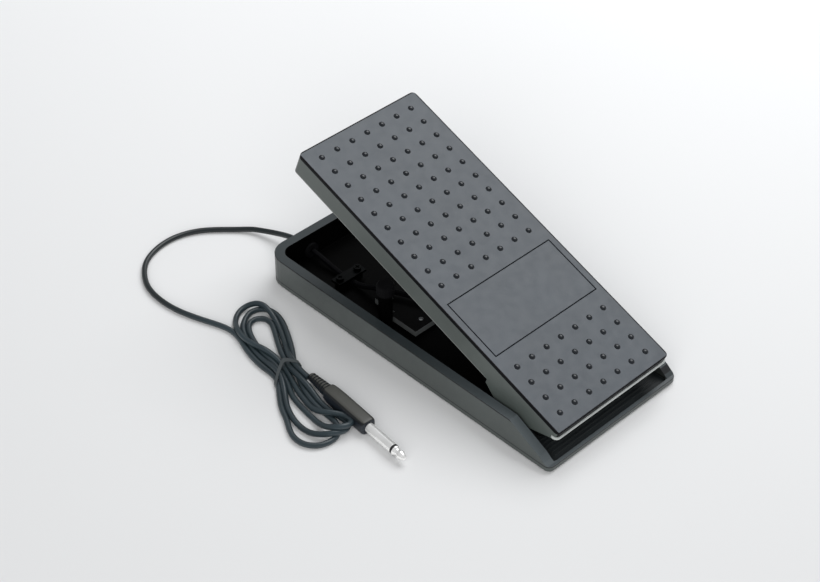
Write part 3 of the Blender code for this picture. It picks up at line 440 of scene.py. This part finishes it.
def plate_look():
    """Painted light and shade: dark top, lighter skirt with a painted highlight along its lower edge, and
    painted dark reflections round the top's edge.
    """
    look = moulded_plastic("plate_plastic", (0.022, 0.032, 0.044), 0.36, edge=0.5 * MM)
    side = (0.068, 0.080, 0.074)
    edge = (0.004, 0.005, 0.006)
    top = (0.0225, 0.0315, 0.042)
    # painted light and shade by facing: lighter skirt, dark rounded edge, dark top
    shade_by_facing(look, PLATE_UP, side, edge, top)
    upwards = look.along(look.from_pivot(), PLATE_UP)
    forwards = look.along(look.from_pivot(), PLATE_FORWARD)
    sideways = look.math("ABSOLUTE", look.along(look.from_pivot(), (1.0, 0.0, 0.0)))
    skirt_line = look.band(upwards, HINGE_DOWN - EDGE_DROP, HINGE_DOWN - SKIN)
    heel_line = look.band(upwards, HINGE_DOWN - HEEL_EDGE_DROP, HINGE_DOWN - SKIN)
    heel_face = look.below(forwards, 1.0 * MM - HINGE_ALONG)
    lines = look.either(skirt_line, look.both(heel_line, heel_face))
    heel_end = look.below(forwards, EDGE_LINE - HINGE_ALONG)
    toe_end = look.above(forwards, PLATE_LENGTH - EDGE_LINE - HINGE_ALONG)
    sides = look.above(sideways, PLATE_HALF_WIDTH - EDGE_LINE)
    border = look.either(look.either(heel_end, toe_end), sides)
    border = look.both(border, look.above(upwards, HINGE_DOWN - EDGE_DROP))
    # painted dark reflection round the top's edge
    dark_line(look, look.either(lines, border))
    # painted highlight along the skirt's lower edge
    paint_lower_edge_highlight(look, (0.16, 0.17, 0.16))
    return look.material


def mounting_plate_look():
    """Blackened sheet with painted light: its edges painted bright as painted highlight, its top nearly black as
    painted shade.
    """
    look = Look("mounting_plate_steel", (0.007, 0.007, 0.007), 0.5, specular=0.05)
    look.mottle(9 * MM, 0.7, 1.3)
    side = (0.130, 0.138, 0.138)
    edge = (0.090, 0.094, 0.094)
    top = (0.003, 0.003, 0.003)
    # painted highlight on the edges, painted shade on the top
    shade_by_facing(look, UP, side, edge, top)
    look.round_edges(0.3 * MM)
    look.bump(look.noise(0.5 * MM), 0.2, 0.03 * MM)
    return look.material


def handle_look():
    """Black plastic, painted lighter on top as painted highlight and darker on its sides as painted shade."""
    look = moulded_plastic("plug_plastic", (0.030, 0.034, 0.034), 0.40, 0.3, edge=0.4 * MM)
    side = (0.012, 0.016, 0.022)
    edge = (0.006, 0.007, 0.008)
    top = (0.052, 0.052, 0.046)
    # painted light and shade by facing: lighter top, darker sides
    shade_by_facing(look, UP, side, edge, top)
    return look.material


TRAY_LOOK = tray_look()
PLATE_LOOK = plate_look()
# the domes are coloured darker than the plate's top as painted dark reflection
DOME_LOOK = moulded_plastic("dome_plastic", (0.008, 0.010, 0.013), 0.20, 0.1).material
# the heel lip's light colour is a painted highlight along its lower edge
LIP_HIGHLIGHT_LOOK = moulded_plastic("lip_highlight", (0.42, 0.44, 0.43), 0.25, 0.1).material
# the inner cord's near-black colour is painted shade of the well
INNER_CORD_LOOK = rubber("inner_cord_jacket", (0.0015, 0.0015, 0.002))
RUBBER_LOOK = rubber("black_rubber", (0.004, 0.004, 0.0045))
STEEL_LOOK = plated_steel("zinc_steel", (0.56, 0.57, 0.58), 0.36)
MOUNTING_PLATE_LOOK = mounting_plate_look()
DARK_STEEL_LOOK = plated_steel("blackened_steel", (0.006, 0.0063, 0.0066), 0.45)
BRASS_LOOK = plated_steel("brass_bar", (0.66, 0.52, 0.26), 0.34)
NYLON_LOOK = turned_nylon("natural_nylon", (0.70, 0.69, 0.64))
ACETAL_LOOK = turned_nylon("acetal", (0.50, 0.50, 0.48))
PHENOLIC_LOOK = laminate()
CORD_LOOK = cord_jacket()
HANDLE_LOOK = handle_look()
NICKEL_LOOK = bright_nickel()
BAND_LOOK = moulded_plastic("band_plastic", (0.010, 0.010, 0.011), 0.35).material
TIE_LOOK = moulded_plastic("tie_plastic", (0.060, 0.069, 0.072), 0.22, 0.1).material
LOOK_OF_SLOT = {
    "tray_plastic": TRAY_LOOK,
    "plate_plastic": PLATE_LOOK,
    "rubber": RUBBER_LOOK,
    "zinc_steel": STEEL_LOOK,
    "blackened_steel": DARK_STEEL_LOOK,
    "nylon": NYLON_LOOK,
    "acetal": ACETAL_LOOK,
    "brass": BRASS_LOOK,
    "phenolic": PHENOLIC_LOOK,
    "cord_jacket": CORD_LOOK,
    "plug_plastic": HANDLE_LOOK,
    "nickel": NICKEL_LOOK,
    "band_plastic": BAND_LOOK,
    "tie_plastic": TIE_LOOK,
}


def dress_frame():
    """Every carried-over node takes the look of its slot, apart from two that have looks of their own."""
    slot_of = {part["node"]: part["material_slot"] for part in frame["record"]["subparts"]}
    for name, node in NODES.items():
        node.data.materials.clear()
        node.data.materials.append(LOOK_OF_SLOT[slot_of[name]])
    # the inner cord and the mounting plate take looks with painted light and shade of the well
    NODES["cord_inner"].data.materials[0] = INNER_CORD_LOOK
    NODES["mounting_plate"].data.materials[0] = MOUNTING_PLATE_LOOK


# ---------------------------------------------------------------- piece helpers
def add_piece(obj, body, look, replaces=()):
    """Dresses a new piece, and makes it ride a body and stand for the nodes that it replaces."""
    obj.data.materials.clear()
    obj.data.materials.append(look)
    if not obj.users_collection:
        bpy.context.scene.collection.objects.link(obj)
    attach(obj, body)
    if replaces:
        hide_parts(*replaces)
    return obj


def from_bmesh(name, shape, sharp=35):
    """An object whose faces shade smooth, but not over edges sharper than `sharp` degrees."""
    bmesh.ops.recalc_face_normals(shape, faces=shape.faces)
    mesh = bpy.data.meshes.new(name)
    shape.to_mesh(mesh)
    shape.free()
    mesh.shade_smooth()
    mesh.set_sharp_from_angle(angle=math.radians(sharp))
    return bpy.data.objects.new(name, mesh)


def on_circle(radius, step, steps):
    angle = math.tau * step / steps
    return (radius * math.cos(angle), radius * math.sin(angle))


def join_rings(shape, lower, upper):
    for i in range(len(lower)):
        j = (i + 1) % len(lower)
        shape.faces.new((lower[i], lower[j], upper[j], upper[i]))


def turned(name, profile, matrix, sides=64):
    """A solid of revolution about Z from (radius, height) pairs that start and end on the axis."""
    shape = bmesh.new()
    rings = []
    for radius, height in profile:
        if radius == 0.0:
            rings.append([shape.verts.new((0, 0, height))])
        else:
            rings.append([shape.verts.new((*on_circle(radius, i, sides), height)) for i in range(sides)])
    for lower, upper in zip(rings, rings[1:]):
        for i in range(sides):
            j = (i + 1) % sides
            corners = [lower[i % len(lower)], lower[j % len(lower)]]
            corners += [upper[j % len(upper)], upper[i % len(upper)]]
            unique = list(dict.fromkeys(corners))
            if len(unique) > 2:
                shape.faces.new(unique)
    bmesh.ops.transform(shape, matrix=matrix, verts=shape.verts)
    return from_bmesh(name, shape)


def centre(name):
    low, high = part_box(name)
    return (Vector(low) + Vector(high)) / 2


# ---------------------------------------------------------------- cord
CORD_RADIUS = 1.8 * MM
LAID_Z = CORD_RADIUS + 0.3 * MM
CORD_STEP = 3.2 * MM
CORD_ROUNDS = 300

# how the cord settles: how far a round sinks it, and how strongly it goes back to its drawn route, is
# straightened, and is kept to its length. Points nearer than CONTACT_REACH radii along the cord don't push
# each other, and strands keep ROOM radii between them. The points at both ends are held.
SINK = 0.06 * MM
RETURN = 0.02
STIFFNESS = 0.20
STRETCH = 0.25
CONTACT_ROUNDS = 3
CONTACT_REACH = 6.4
ROOM = 2.04
TIGHTEST_BEND = 10.0 * MM
EXIT_HELD = 12
PLUG_HELD = 4

# the hank: its tie's place on the floor, and the heading from the plug's end towards the far end
WAIST = Vector((-0.1110, 0.0440))
HANK_HEADING = math.radians(71.0)
HANK_FORWARD = (math.cos(HANK_HEADING), math.sin(HANK_HEADING))
HANK_RIGHT = (math.sin(HANK_HEADING), -math.cos(HANK_HEADING))

LEAD_ROUTE = (
    (-0.0245, 0.1314, 0.0095),
    (-0.0252, 0.1372, 0.0086),
    (-0.0262, 0.1447, 0.0068),
    (-0.0294, 0.1566, 0.0043),
    (-0.0354, 0.1681, 0.0027),
    (-0.0545, 0.1865, LAID_Z),
    (-0.0675, 0.1932, LAID_Z),
    (-0.0800, 0.1952, LAID_Z),
    (-0.0935, 0.1928, LAID_Z),
    (-0.1060, 0.1862, LAID_Z),
    (-0.1170, 0.1712, LAID_Z),
    (-0.1203, 0.1592, LAID_Z),
    (-0.1207, 0.1447, LAID_Z),
    (-0.1183, 0.1314, LAID_Z),
    (-0.1133, 0.1162, 0.0023),
)

# the hank's strands in millimetres: along it from its tie, across it to the right, and the height of the
# cord's middle
ARRIVAL = (
    (52.7, -14.3, 2.2), (45, -12.2, 2.1), (36, -11.9, 2.1), (27, -11.8, 2.1), (17, -9.4, 2.1),
    (9, -6.6, 2.1), (2, -4.8, 2.1), (-6, -5.0, 2.1), (-16, -8.4, 2.1), (-26, -12.0, 2.1),
)
WIDE_FOLD = (
    (-34.5, -12.6, 2.1), (-43, -14.9, 2.1), (-51.3, -15.5, 2.1), (-58.3, -12.6, 2.1), (-62.8, -7.2, 2.1),
    (-63.8, -0.5, 2.1), (-62.2, 6, 2.1), (-57.3, 10.8, 2.1), (-50, 11.4, 2.1), (-42, 9.2, 2.1),
    (-34, 7.6, 2.1), (-25, 7.4, 2.1), (-12, 6.4, 2.1), (0, 6.2, 2.1), (10, 8.4, 2.1), (20, 12.5, 2.1),
    (32, 15.3, 2.1),
)
FIRST_LOOP = (
    (46, 17.2, 2.1), (56.5, 15.6, 2.1), (62.8, 11, 2.1), (64.2, 5, 2.1), (59.4, -1.2, 2.1),
    (49.4, -6.9, 2.1), (40, -9, 2.1), (28, -8.5, 2.1), (15, -6.0, 3.8), (6, -3, 5.6), (-2.6, -3.4, 5.7),
    (-10.4, -5.8, 5.2), (-18.9, -8.6, 3.4),
)
SECOND_FOLD = (
    (-27.9, -10.2, 2.8), (-35.7, -9.6, 2.2), (-45.5, -8.4, 2.1), (-53, -5, 2.1), (-57.8, 0, 2.6),
    (-60.8, 6, 4.8), (-61, 12.2, 5.9), (-57, 17.4, 5.2), (-50.5, 17.2, 3.6), (-44.9, 13.8, 3.2),
    (-39, 11.2, 4.2), (-32, 9.4, 5.2), (-22.4, 8, 5.7), (-13.9, 6.8, 5.7), (-4.6, 6.1, 5.7),
    (4.7, 4.9, 5.2), (12, 5.2, 3.4), (21, 6.2, 2.1), (32, 8, 2.1),
)
SECOND_LOOP = (
    (42, 9.6, 2.1), (50, 9.9, 2.1), (55.2, 7.0, 2.1), (56.2, 2, 2.1), (52.5, -2, 2.1), (46, -4.2, 2.1),
    (38, -5.3, 2.1), (28, -4.8, 2.1), (16, -3, 2.1), (7, -1.0, 2.1), (0, -1.0, 2.1), (-8, -1.4, 2.1),
    (-17.5, -3.1, 2.1),
)
THIRD_FOLD = (
    (-26.3, -2.0, 2.1), (-34.1, -0.7, 2.1), (-43.3, 1.4, 3.2), (-50.5, 3.4, 5), (-56.7, 5.6, 7.5),
    (-61.5, 9.8, 9.2), (-61.6, 15.4, 9.6), (-57, 18.8, 9.4), (-51, 17.4, 8.8), (-46.8, 12.8, 8),
    (-43, 8.2, 6.8), (-38.4, 5.2, 4.6), (-33, 4, 3), (-24.5, 2.8, 2.1), (-16.6, 1.8, 2.1),
    (-6.8, 1.7, 2.1), (4.1, 2.1, 3),
)
LAST_LOOP = (
    (11.3, 1.4, 5), (17.1, -0.8, 5.7), (25.5, -5, 5.7), (33.4, -9.1, 5.7), (40.9, -12, 5.7),
    (49, -12.3, 5.7), (57, -9.6, 5.7), (65.3, -4.5, 5.7), (68.8, 1.4, 5.7), (67.6, 6.8, 5.7),
    (62.4, 11.2, 5.7), (52.9, 13.7, 5.7), (39.1, 13.2, 5.7), (26.1, 11.5, 5.7), (13.6, 9.6, 6),
    (8.4, 8.2, 6), (2, 8.2, 5.9), (-5, 9.4, 5.6), (-11, 10.9, 5.3),
)


def on_hank(along, across, height):
    """World place of a point given along and across the hank, in millimetres."""
    flat = WAIST + (Vector(HANK_FORWARD) * along + Vector(HANK_RIGHT) * across) * MM
    return (flat.x, flat.y, height * MM)


def spline_piece(a, b, c, d, t):
    """The smooth curve from b to c whose ends lead on to a and d."""
    square = (2 * a - 5 * b + 4 * c - d) * t ** 2
    cube = (3 * b - a - 3 * c + d) * t ** 3
    return 0.5 * (2 * b + (c - a) * t + square + cube)


def smooth_route(points, spacing):
    """Evenly spaced points on a smooth curve through the given ones."""
    knots = np.asarray(points, float)
    knots = np.vstack([2 * knots[0] - knots[1], knots, 2 * knots[-1] - knots[-2]])
    t = np.linspace(0.0, 1.0, 24, endpoint=False)[:, None]
    pieces = [spline_piece(*four, t) for four in zip(knots, knots[1:], knots[2:], knots[3:])]
    fine = np.vstack(pieces + [knots[-2][None]])
    gone = np.r_[0.0, np.cumsum(np.linalg.norm(np.diff(fine, axis=0), axis=1))]
    places = np.linspace(0.0, gone[-1], round(gone[-1] / spacing) + 1)
    return np.stack([np.interp(places, gone, fine[:, axis]) for axis in range(3)], axis=1)


def settle(route, rounds):
    """Lets the cord sink under its weight, its strands apart, its length kept and its bends eased."""
    place = route.copy()
    spacing = np.linalg.norm(np.diff(place, axis=0), axis=1).mean()
    one, other = np.triu_indices(len(place), math.ceil(CONTACT_REACH * CORD_RADIUS / spacing))
    for step in range(rounds):
        place[:, 2] -= SINK * (1.0 - step / rounds)
        place[:, :2] += (route[:, :2] - place[:, :2]) * RETURN
        curl = np.zeros_like(place)
        curl[1:-1] = (place[:-2] + place[2:]) / 2 - place[1:-1]
        place[2:-2] -= STIFFNESS * (curl[1:-3] + curl[3:-1] - 2 * curl[2:-2])
        for _ in range(CONTACT_ROUNDS):
            push_apart(place, one, other, ROOM * CORD_RADIUS)
            place[:, 2] = np.maximum(place[:, 2], CORD_RADIUS + 0.1 * MM)
            keep_length(place, spacing)
            ease_bends(place, spacing)
        place[:EXIT_HELD] = route[:EXIT_HELD]
        place[-PLUG_HELD:] = route[-PLUG_HELD:]
    return place


def keep_length(place, spacing):
    span = np.diff(place, axis=0)
    length = np.linalg.norm(span, axis=1)[:, None]
    change = (length - spacing) * span / length * STRETCH
    place[:-1] += change
    place[1:] -= change


def ease_bends(place, spacing):
    """Opens every bend that is tighter than TIGHTEST_BEND a little."""
    most_curl = spacing ** 2 / (2 * TIGHTEST_BEND)
    curl = (place[:-2] + place[2:]) / 2 - place[1:-1]
    much = np.linalg.norm(curl, axis=1)[:, None]
    easing = curl * np.maximum(1.0 - most_curl / np.maximum(much, 1e-9), 0.0)
    place[1:-1] += easing * 0.5
    place[:-2] -= easing * 0.25
    place[2:] -= easing * 0.25


def push_apart(place, one, other, apart):
    """Moves every two points of the listed pairs away from each other until they are `apart`."""
    gap = place[other] - place[one]
    distance = np.linalg.norm(gap, axis=1)
    close = distance < apart
    one = one[close]
    other = other[close]
    distance = np.maximum(distance[close], 1e-6)[:, None]
    push = (apart - distance) * gap[close] / distance * 0.5
    total = np.zeros_like(place)
    hits = np.ones(len(place))
    np.add.at(total, other, push)
    np.add.at(total, one, -push)
    np.add.at(hits, other, 1)
    np.add.at(hits, one, 1)
    place += total / np.maximum(hits - 1, 1)[:, None]


def cord_route():
    turns = ARRIVAL + WIDE_FOLD + FIRST_LOOP + SECOND_FOLD + SECOND_LOOP + THIRD_FOLD + LAST_LOOP
    route = smooth_route(LEAD_ROUTE + tuple(on_hank(*point) for point in turns), CORD_STEP)
    return settle(route, CORD_ROUNDS)


def cord_piece(route):
    """The cord as a round curve, and its length."""
    curve = bpy.data.curves.new("cord", "CURVE")
    curve.dimensions = "3D"
    curve.bevel_depth = CORD_RADIUS
    curve.bevel_resolution = 6
    curve.use_fill_caps = True
    points = smooth_route(route, CORD_STEP / 3)
    spline = curve.splines.new("POLY")
    spline.points.add(len(points) - 1)
    for point, place in zip(spline.points, points):
        point.co = (*place, 1.0)
    spline.use_smooth = True
    cord = bpy.data.objects.new("cord", curve)
    length = np.linalg.norm(np.diff(points, axis=0), axis=1).sum()
    return cord, float(length)


def hull(points):
    """Convex outline, anticlockwise."""
    ordered = sorted(map(tuple, points))

    def half(sequence):
        chain = []
        for point in sequence:
            while len(chain) > 1:
                a = np.subtract(chain[-1], chain[-2])
                b = np.subtract(point, chain[-1])
                if a[0] * b[1] - a[1] * b[0] > 0:
                    break
                chain.pop()
            chain.append(point)
        return chain[:-1]

    return half(ordered) + half(ordered[::-1])


def divided(outline, step):
    """The same outline with its long sides cut into short ones."""
    points = []
    for here, there in zip(outline, outline[1:] + outline[:1]):
        cuts = max(1, math.ceil(math.dist(here, there) / step))
        points += [tuple(np.add(here, np.subtract(there, here) * k / cuts)) for k in range(cuts)]
    return points


# the tie: a band that takes up more than its own width along the hank, because it lies slanted, with its
# knot at the peak of its line and a slope to either side of it
TIE_WIDTH = 2.6 * MM
TIE_SLANT = 1.3
TIE_THICKNESS = 0.7 * MM
TIE_GAP = 0.15 * MM
TIE_PEAK_ALONG = 7.2 * MM
TIE_PEAK_ACROSS = 3.0 * MM
TIE_PEAK_ROUND = 1.5 * MM
TIE_SLOPES = (1.30, 0.90)


def tie_line(across):
    """How far along the hank the tie lies: drawn back on both sides of its knot."""
    beside = across - TIE_PEAK_ACROSS
    slope = np.where(beside < 0.0, *TIE_SLOPES)
    return TIE_PEAK_ALONG - slope * (np.hypot(beside, TIE_PEAK_ROUND) - TIE_PEAK_ROUND)


def tie_outline(route):
    """The tight outline, across and up, round every strand that passes under the tie."""
    flat = route[:, :2] - np.array(WAIST)
    along = flat @ np.array(HANK_FORWARD)
    across = flat @ np.array(HANK_RIGHT)
    near = np.abs(along - tie_line(across)) < CORD_STEP
    angles = np.linspace(0, math.tau, 16, endpoint=False)
    cloud = []
    for t, z in zip(across[near], route[near, 2]):
        cloud += [(t + CORD_RADIUS * math.cos(a), z + CORD_RADIUS * math.sin(a)) for a in angles]
    return divided(hull(cloud), 1.0 * MM)


def tie_piece(route):
    """A flat band drawn round the strands where the hank is tied."""
    outline = tie_outline(route)
    middle = np.mean(outline, axis=0)
    forward = np.array(HANK_FORWARD)
    right = np.array(HANK_RIGHT)
    shape = bmesh.new()
    rows = []
    for offset in (TIE_GAP, TIE_GAP + TIE_THICKNESS):
        for side in (-1, 1):
            row = []
            for point in outline:
                away = np.array(point) - middle
                across, height = np.array(point) + away / np.linalg.norm(away) * offset
                along = tie_line(across) + side * TIE_WIDTH / 2 * TIE_SLANT
                x, y = np.array(WAIST) + forward * along + right * across
                row.append(shape.verts.new((x, y, max(height, 0.2 * MM))))
            rows.append(row)
    inner_low, inner_high, outer_low, outer_high = rows
    loop = (inner_low, inner_high, outer_high, outer_low)
    for a, b in zip(loop, loop[1:] + loop[:1]):
        join_rings(shape, a, b)
    tie = from_bmesh("tie_band", shape, 50)
    bevel = tie.modifiers.new("soft_edges", "BEVEL")
    bevel.width = 0.2 * MM
    bevel.segments = 2
    bevel.limit_method = "ANGLE"
    return tie


# ---------------------------------------------------------------- plug
PLUG_AXIS = (centre("plug_sleeve") - centre("plug_handle")).normalized()
HANDLE_LENGTH = 39.5 * MM
HANDLE_WIDTH = 10.0 * MM
HANDLE_CORNER = 2.6 * MM
HANDLE_CORNER_STEPS = 6
SLEEVE_RADIUS = 3.175 * MM
SLEEVE_START = HANDLE_LENGTH + 0.3 * MM
SLEEVE_END = SLEEVE_START + 22.5 * MM
BAND_START = HANDLE_LENGTH + 22.9 * MM
TIP_START = BAND_START + 1.6 * MM
RELIEF_START = -0.3 * MM
RELIEF_LENGTH = 16.5 * MM
RELIEF_RIBS = 7


def plug_matrix():
    """Puts a shape that is drawn along Z on the plug's axis, from the handle's end nearest the cord."""
    start = centre("plug_handle") - PLUG_AXIS * HANDLE_LENGTH / 2
    across = PLUG_AXIS.cross(Vector((0, 0, 1))).normalized()
    up = across.cross(PLUG_AXIS)
    turn = Matrix((across, up, PLUG_AXIS)).transposed().to_4x4()
    return Matrix.Translation(start) @ turn


def handle_outline():
    """The handle's cross-section: a square with broad rounded corners."""
    middle = HANDLE_WIDTH / 2 - HANDLE_CORNER
    points = []
    for corner in range(4):
        cx = middle * (1 if corner in (0, 3) else -1)
        cy = middle * (1 if corner in (0, 1) else -1)
        for step in range(HANDLE_CORNER_STEPS + 1):
            angle = math.tau / 4 * (corner + step / HANDLE_CORNER_STEPS)
            points.append((cx + HANDLE_CORNER * math.cos(angle), cy + HANDLE_CORNER * math.sin(angle)))
    return points


def handle_piece():
    """A moulded grip with four flats and a lead-in at both ends: its scale at places along it."""
    sections = (
        (0.0, 0.70), (0.25, 0.80), (0.9, 0.88), (2.2, 0.93), (5.0, 0.97), (12.0, 1.0), (30.0, 1.0),
        (37.6, 0.985), (38.8, 0.96), (39.3, 0.91), (39.5, 0.84),
    )
    outline = handle_outline()
    shape = bmesh.new()
    rings = []
    for distance, scale in sections:
        rings.append([shape.verts.new((x * scale, y * scale, distance * MM)) for x, y in outline])
    for lower, upper in zip(rings, rings[1:]):
        join_rings(shape, lower, upper)
    shape.faces.new(reversed(rings[0]))
    shape.faces.new(rings[-1])
    bmesh.ops.transform(shape, matrix=plug_matrix(), verts=shape.verts)
    return from_bmesh("moulded_handle", shape, 28)


def relief_piece():
    """Tapered strain relief with open ribs."""
    pitch = RELIEF_LENGTH / RELIEF_RIBS
    profile = [(0.0, RELIEF_START)]
    for index in range(RELIEF_RIBS):
        start = RELIEF_START - index * pitch
        radius = (4.0 - 1.15 * index / (RELIEF_RIBS - 1)) * MM
        neck = radius - 0.75 * MM
        profile += [
            (radius - 0.25 * MM, start),
            (radius, start - 0.25 * MM),
            (radius, start - pitch * 0.50),
            (radius - 0.2 * MM, start - pitch * 0.60),
            (neck, start - pitch * 0.62),
            (neck, start - pitch * 0.98),
        ]
    profile.append((0.0, RELIEF_START - RELIEF_LENGTH))
    return turned("ribbed_relief", profile, plug_matrix(), 48)


def sleeve_piece():
    edge = 0.15 * MM
    profile = [
        (0.0, SLEEVE_START), (SLEEVE_RADIUS - edge, SLEEVE_START), (SLEEVE_RADIUS, SLEEVE_START + edge),
        (SLEEVE_RADIUS, SLEEVE_END - edge), (SLEEVE_RADIUS - edge, SLEEVE_END), (0.0, SLEEVE_END),
    ]
    return turned("bright_sleeve", profile, plug_matrix())


def band_piece():
    radius = SLEEVE_RADIUS - 0.05 * MM
    profile = [(0.0, BAND_START), (radius, BAND_START), (radius, TIP_START), (0.0, TIP_START)]
    return turned("insulating_band", profile, plug_matrix())


def tip_piece():
    """The tip in millimetres: its collar, its narrow neck, its shoulder and its rounded cone."""
    outline = (
        (0.0, 0.0), (3.05, 0.0), (3.175, 0.12), (3.175, 0.7), (2.9, 1.1), (2.35, 1.9), (2.15, 2.6),
        (2.2, 3.3), (2.5, 4.1), (2.85, 4.7), (2.95, 5.1), (2.85, 5.5), (2.3, 6.9), (1.6, 8.3),
        (1.1, 8.85), (0.55, 9.1), (0.0, 9.2),
    )
    profile = [(radius * MM, TIP_START + height * MM) for radius, height in outline]
    return turned("bright_tip", profile, plug_matrix())


def make_cord():
    route = cord_route()
    cord, length = cord_piece(route)
    add_piece(cord, "base", CORD_LOOK, ("cord_lead", "cord_hank"))
    tie = add_piece(tie_piece(route), "base", TIE_LOOK, ("cord_tie",))
    handle = add_piece(handle_piece(), "base", HANDLE_LOOK, ("plug_handle",))
    relief = add_piece(relief_piece(), "base", HANDLE_LOOK, ("plug_relief",))
    sleeve = add_piece(sleeve_piece(), "base", NICKEL_LOOK, ("plug_sleeve",))
    band = add_piece(band_piece(), "base", BAND_LOOK, ("plug_band",))
    tip = add_piece(tip_piece(), "base", NICKEL_LOOK, ("plug_tip",))


# ---------------------------------------------------------------- foot plate details
PLATE_MATRIX = Matrix.Translation(PIVOT) @ Matrix.Rotation(PLATE_TILT, 4, "X")


def on_plate(across, along, down):
    """World place of a point on the tread plate: from its middle, its heel edge and its top face."""
    return PLATE_MATRIX @ Vector((across, along - HINGE_ALONG, HINGE_DOWN - down))


def add_dome(shape, across, along):
    """One cap of a sphere, standing on the plate's top face."""
    sphere = (DOME_RADIUS ** 2 + DOME_HEIGHT ** 2) / (2 * DOME_HEIGHT)
    reach = math.asin(DOME_RADIUS / sphere)
    lower = None
    for ring in range(DOME_RINGS + 1):
        angle = reach * (1 - ring / (DOME_RINGS + 1))
        up = sphere * math.cos(angle) - sphere + DOME_HEIGHT
        upper = []
        for i in range(DOME_SIDES):
            right, forward = on_circle(sphere * math.sin(angle), i, DOME_SIDES)
            upper.append(shape.verts.new(on_plate(across + right, along + forward, -up)))
        if lower:
            join_rings(shape, lower, upper)
        lower = upper
    shape.faces.new(lower)


def domes_piece():
    """The grip's rows of domes, in two fields with the blank panel between them."""
    shape = bmesh.new()
    for start, rows in DOME_FIELDS:
        for row in range(rows):
            for column in range(DOME_COLUMNS):
                across = (column - (DOME_COLUMNS - 1) / 2) * DOME_PITCH_ACROSS
                add_dome(shape, across, start + row * DOME_PITCH_ALONG)
    return from_bmesh("grip_domes", shape, 60)


def lip_piece():
    """The rolled lower lip along the plate's heel, turned up round both corners."""
    down = HEEL_LIP_DEPTH - 0.5 * MM
    half = PLATE_HALF_WIDTH + LIP_OUT
    path = [(half - LIP_END_IN, LIP_CORNER + LIP_END_ALONG)]
    for angle in np.linspace(0.0, math.pi / 2, 8):
        across = half - LIP_CORNER + LIP_CORNER * math.cos(angle)
        path.append((across, LIP_CORNER - LIP_OUT - LIP_CORNER * math.sin(angle)))
    path += [(-x, y) for x, y in reversed(path)]
    curve = bpy.data.curves.new("heel_lip", "CURVE")
    curve.dimensions = "3D"
    curve.bevel_depth = LIP_RADIUS
    curve.bevel_resolution = 4
    curve.use_fill_caps = True
    spline = curve.splines.new("POLY")
    spline.points.add(len(path) - 1)
    for index, (point, (across, along)) in enumerate(zip(spline.points, path)):
        at_end = index in (0, len(path) - 1)
        point.co = (*on_plate(across, along, down), 1.0)
        point.radius = 0.35 if at_end else 1.0
    spline.use_smooth = True
    return bpy.data.objects.new("heel_lip", curve)


def make_plate_details():
    add_piece(domes_piece(), "treadle", DOME_LOOK)
    # the lip carries a painted highlight
    add_piece(lip_piece(), "treadle", LIP_HIGHLIGHT_LOOK)


# ---------------------------------------------------------------- stage and light
def make_floor():
    """A plain pale floor, painted a little lighter towards the back as painted light."""
    shape = bmesh.new()
    bmesh.ops.create_grid(shape, x_segments=1, y_segments=1, size=4.0)
    floor = from_bmesh("floor", shape)
    look = Look("pale_floor", (0.82, 0.82, 0.82), 0.75, specular=0.2)
    x, y, _ = look.axes()
    look.tint(look.ramp(look.math("ADD", x, y), 0.0, 1.0, -0.45, 0.75), 0.77, 1.18)
    floor.data.materials.append(look.material)
    bpy.context.scene.collection.objects.link(floor)


def area_light(name, place, size, watts, colour=(1.0, 1.0, 1.0), glossy=True):
    """A square softbox that looks at the middle of the floor."""
    data = bpy.data.lights.new(name, "AREA")
    data.shape = "SQUARE"
    data.size = size
    data.energy = watts
    data.color = colour
    light = bpy.data.objects.new(name, data)
    aim = Vector(place).to_track_quat("Z", "Y").to_matrix().to_4x4()
    light.matrix_world = Matrix.Translation(place) @ aim
    light.visible_glossy = glossy
    bpy.context.scene.collection.objects.link(light)


def make_light():
    world = bpy.data.worlds.new("studio")
    bpy.context.scene.world = world
    world.use_nodes = True
    background = world.node_tree.nodes["Background"]
    background.inputs["Color"].default_value = (0.96, 0.98, 1.0, 1.0)
    background.inputs["Strength"].default_value = 0.30
    area_light("softbox", (0.95, 0.12, 1.50), 1.5, 24.0, colour=(0.97, 0.985, 1.0))
    area_light("fill", (-0.95, -0.80, 0.80), 1.2, 16.0, glossy=False)
    bpy.context.scene.view_settings.view_transform = "Standard"


make_camera()
dress_frame()
make_cord()
make_plate_details()
make_floor()
make_light()
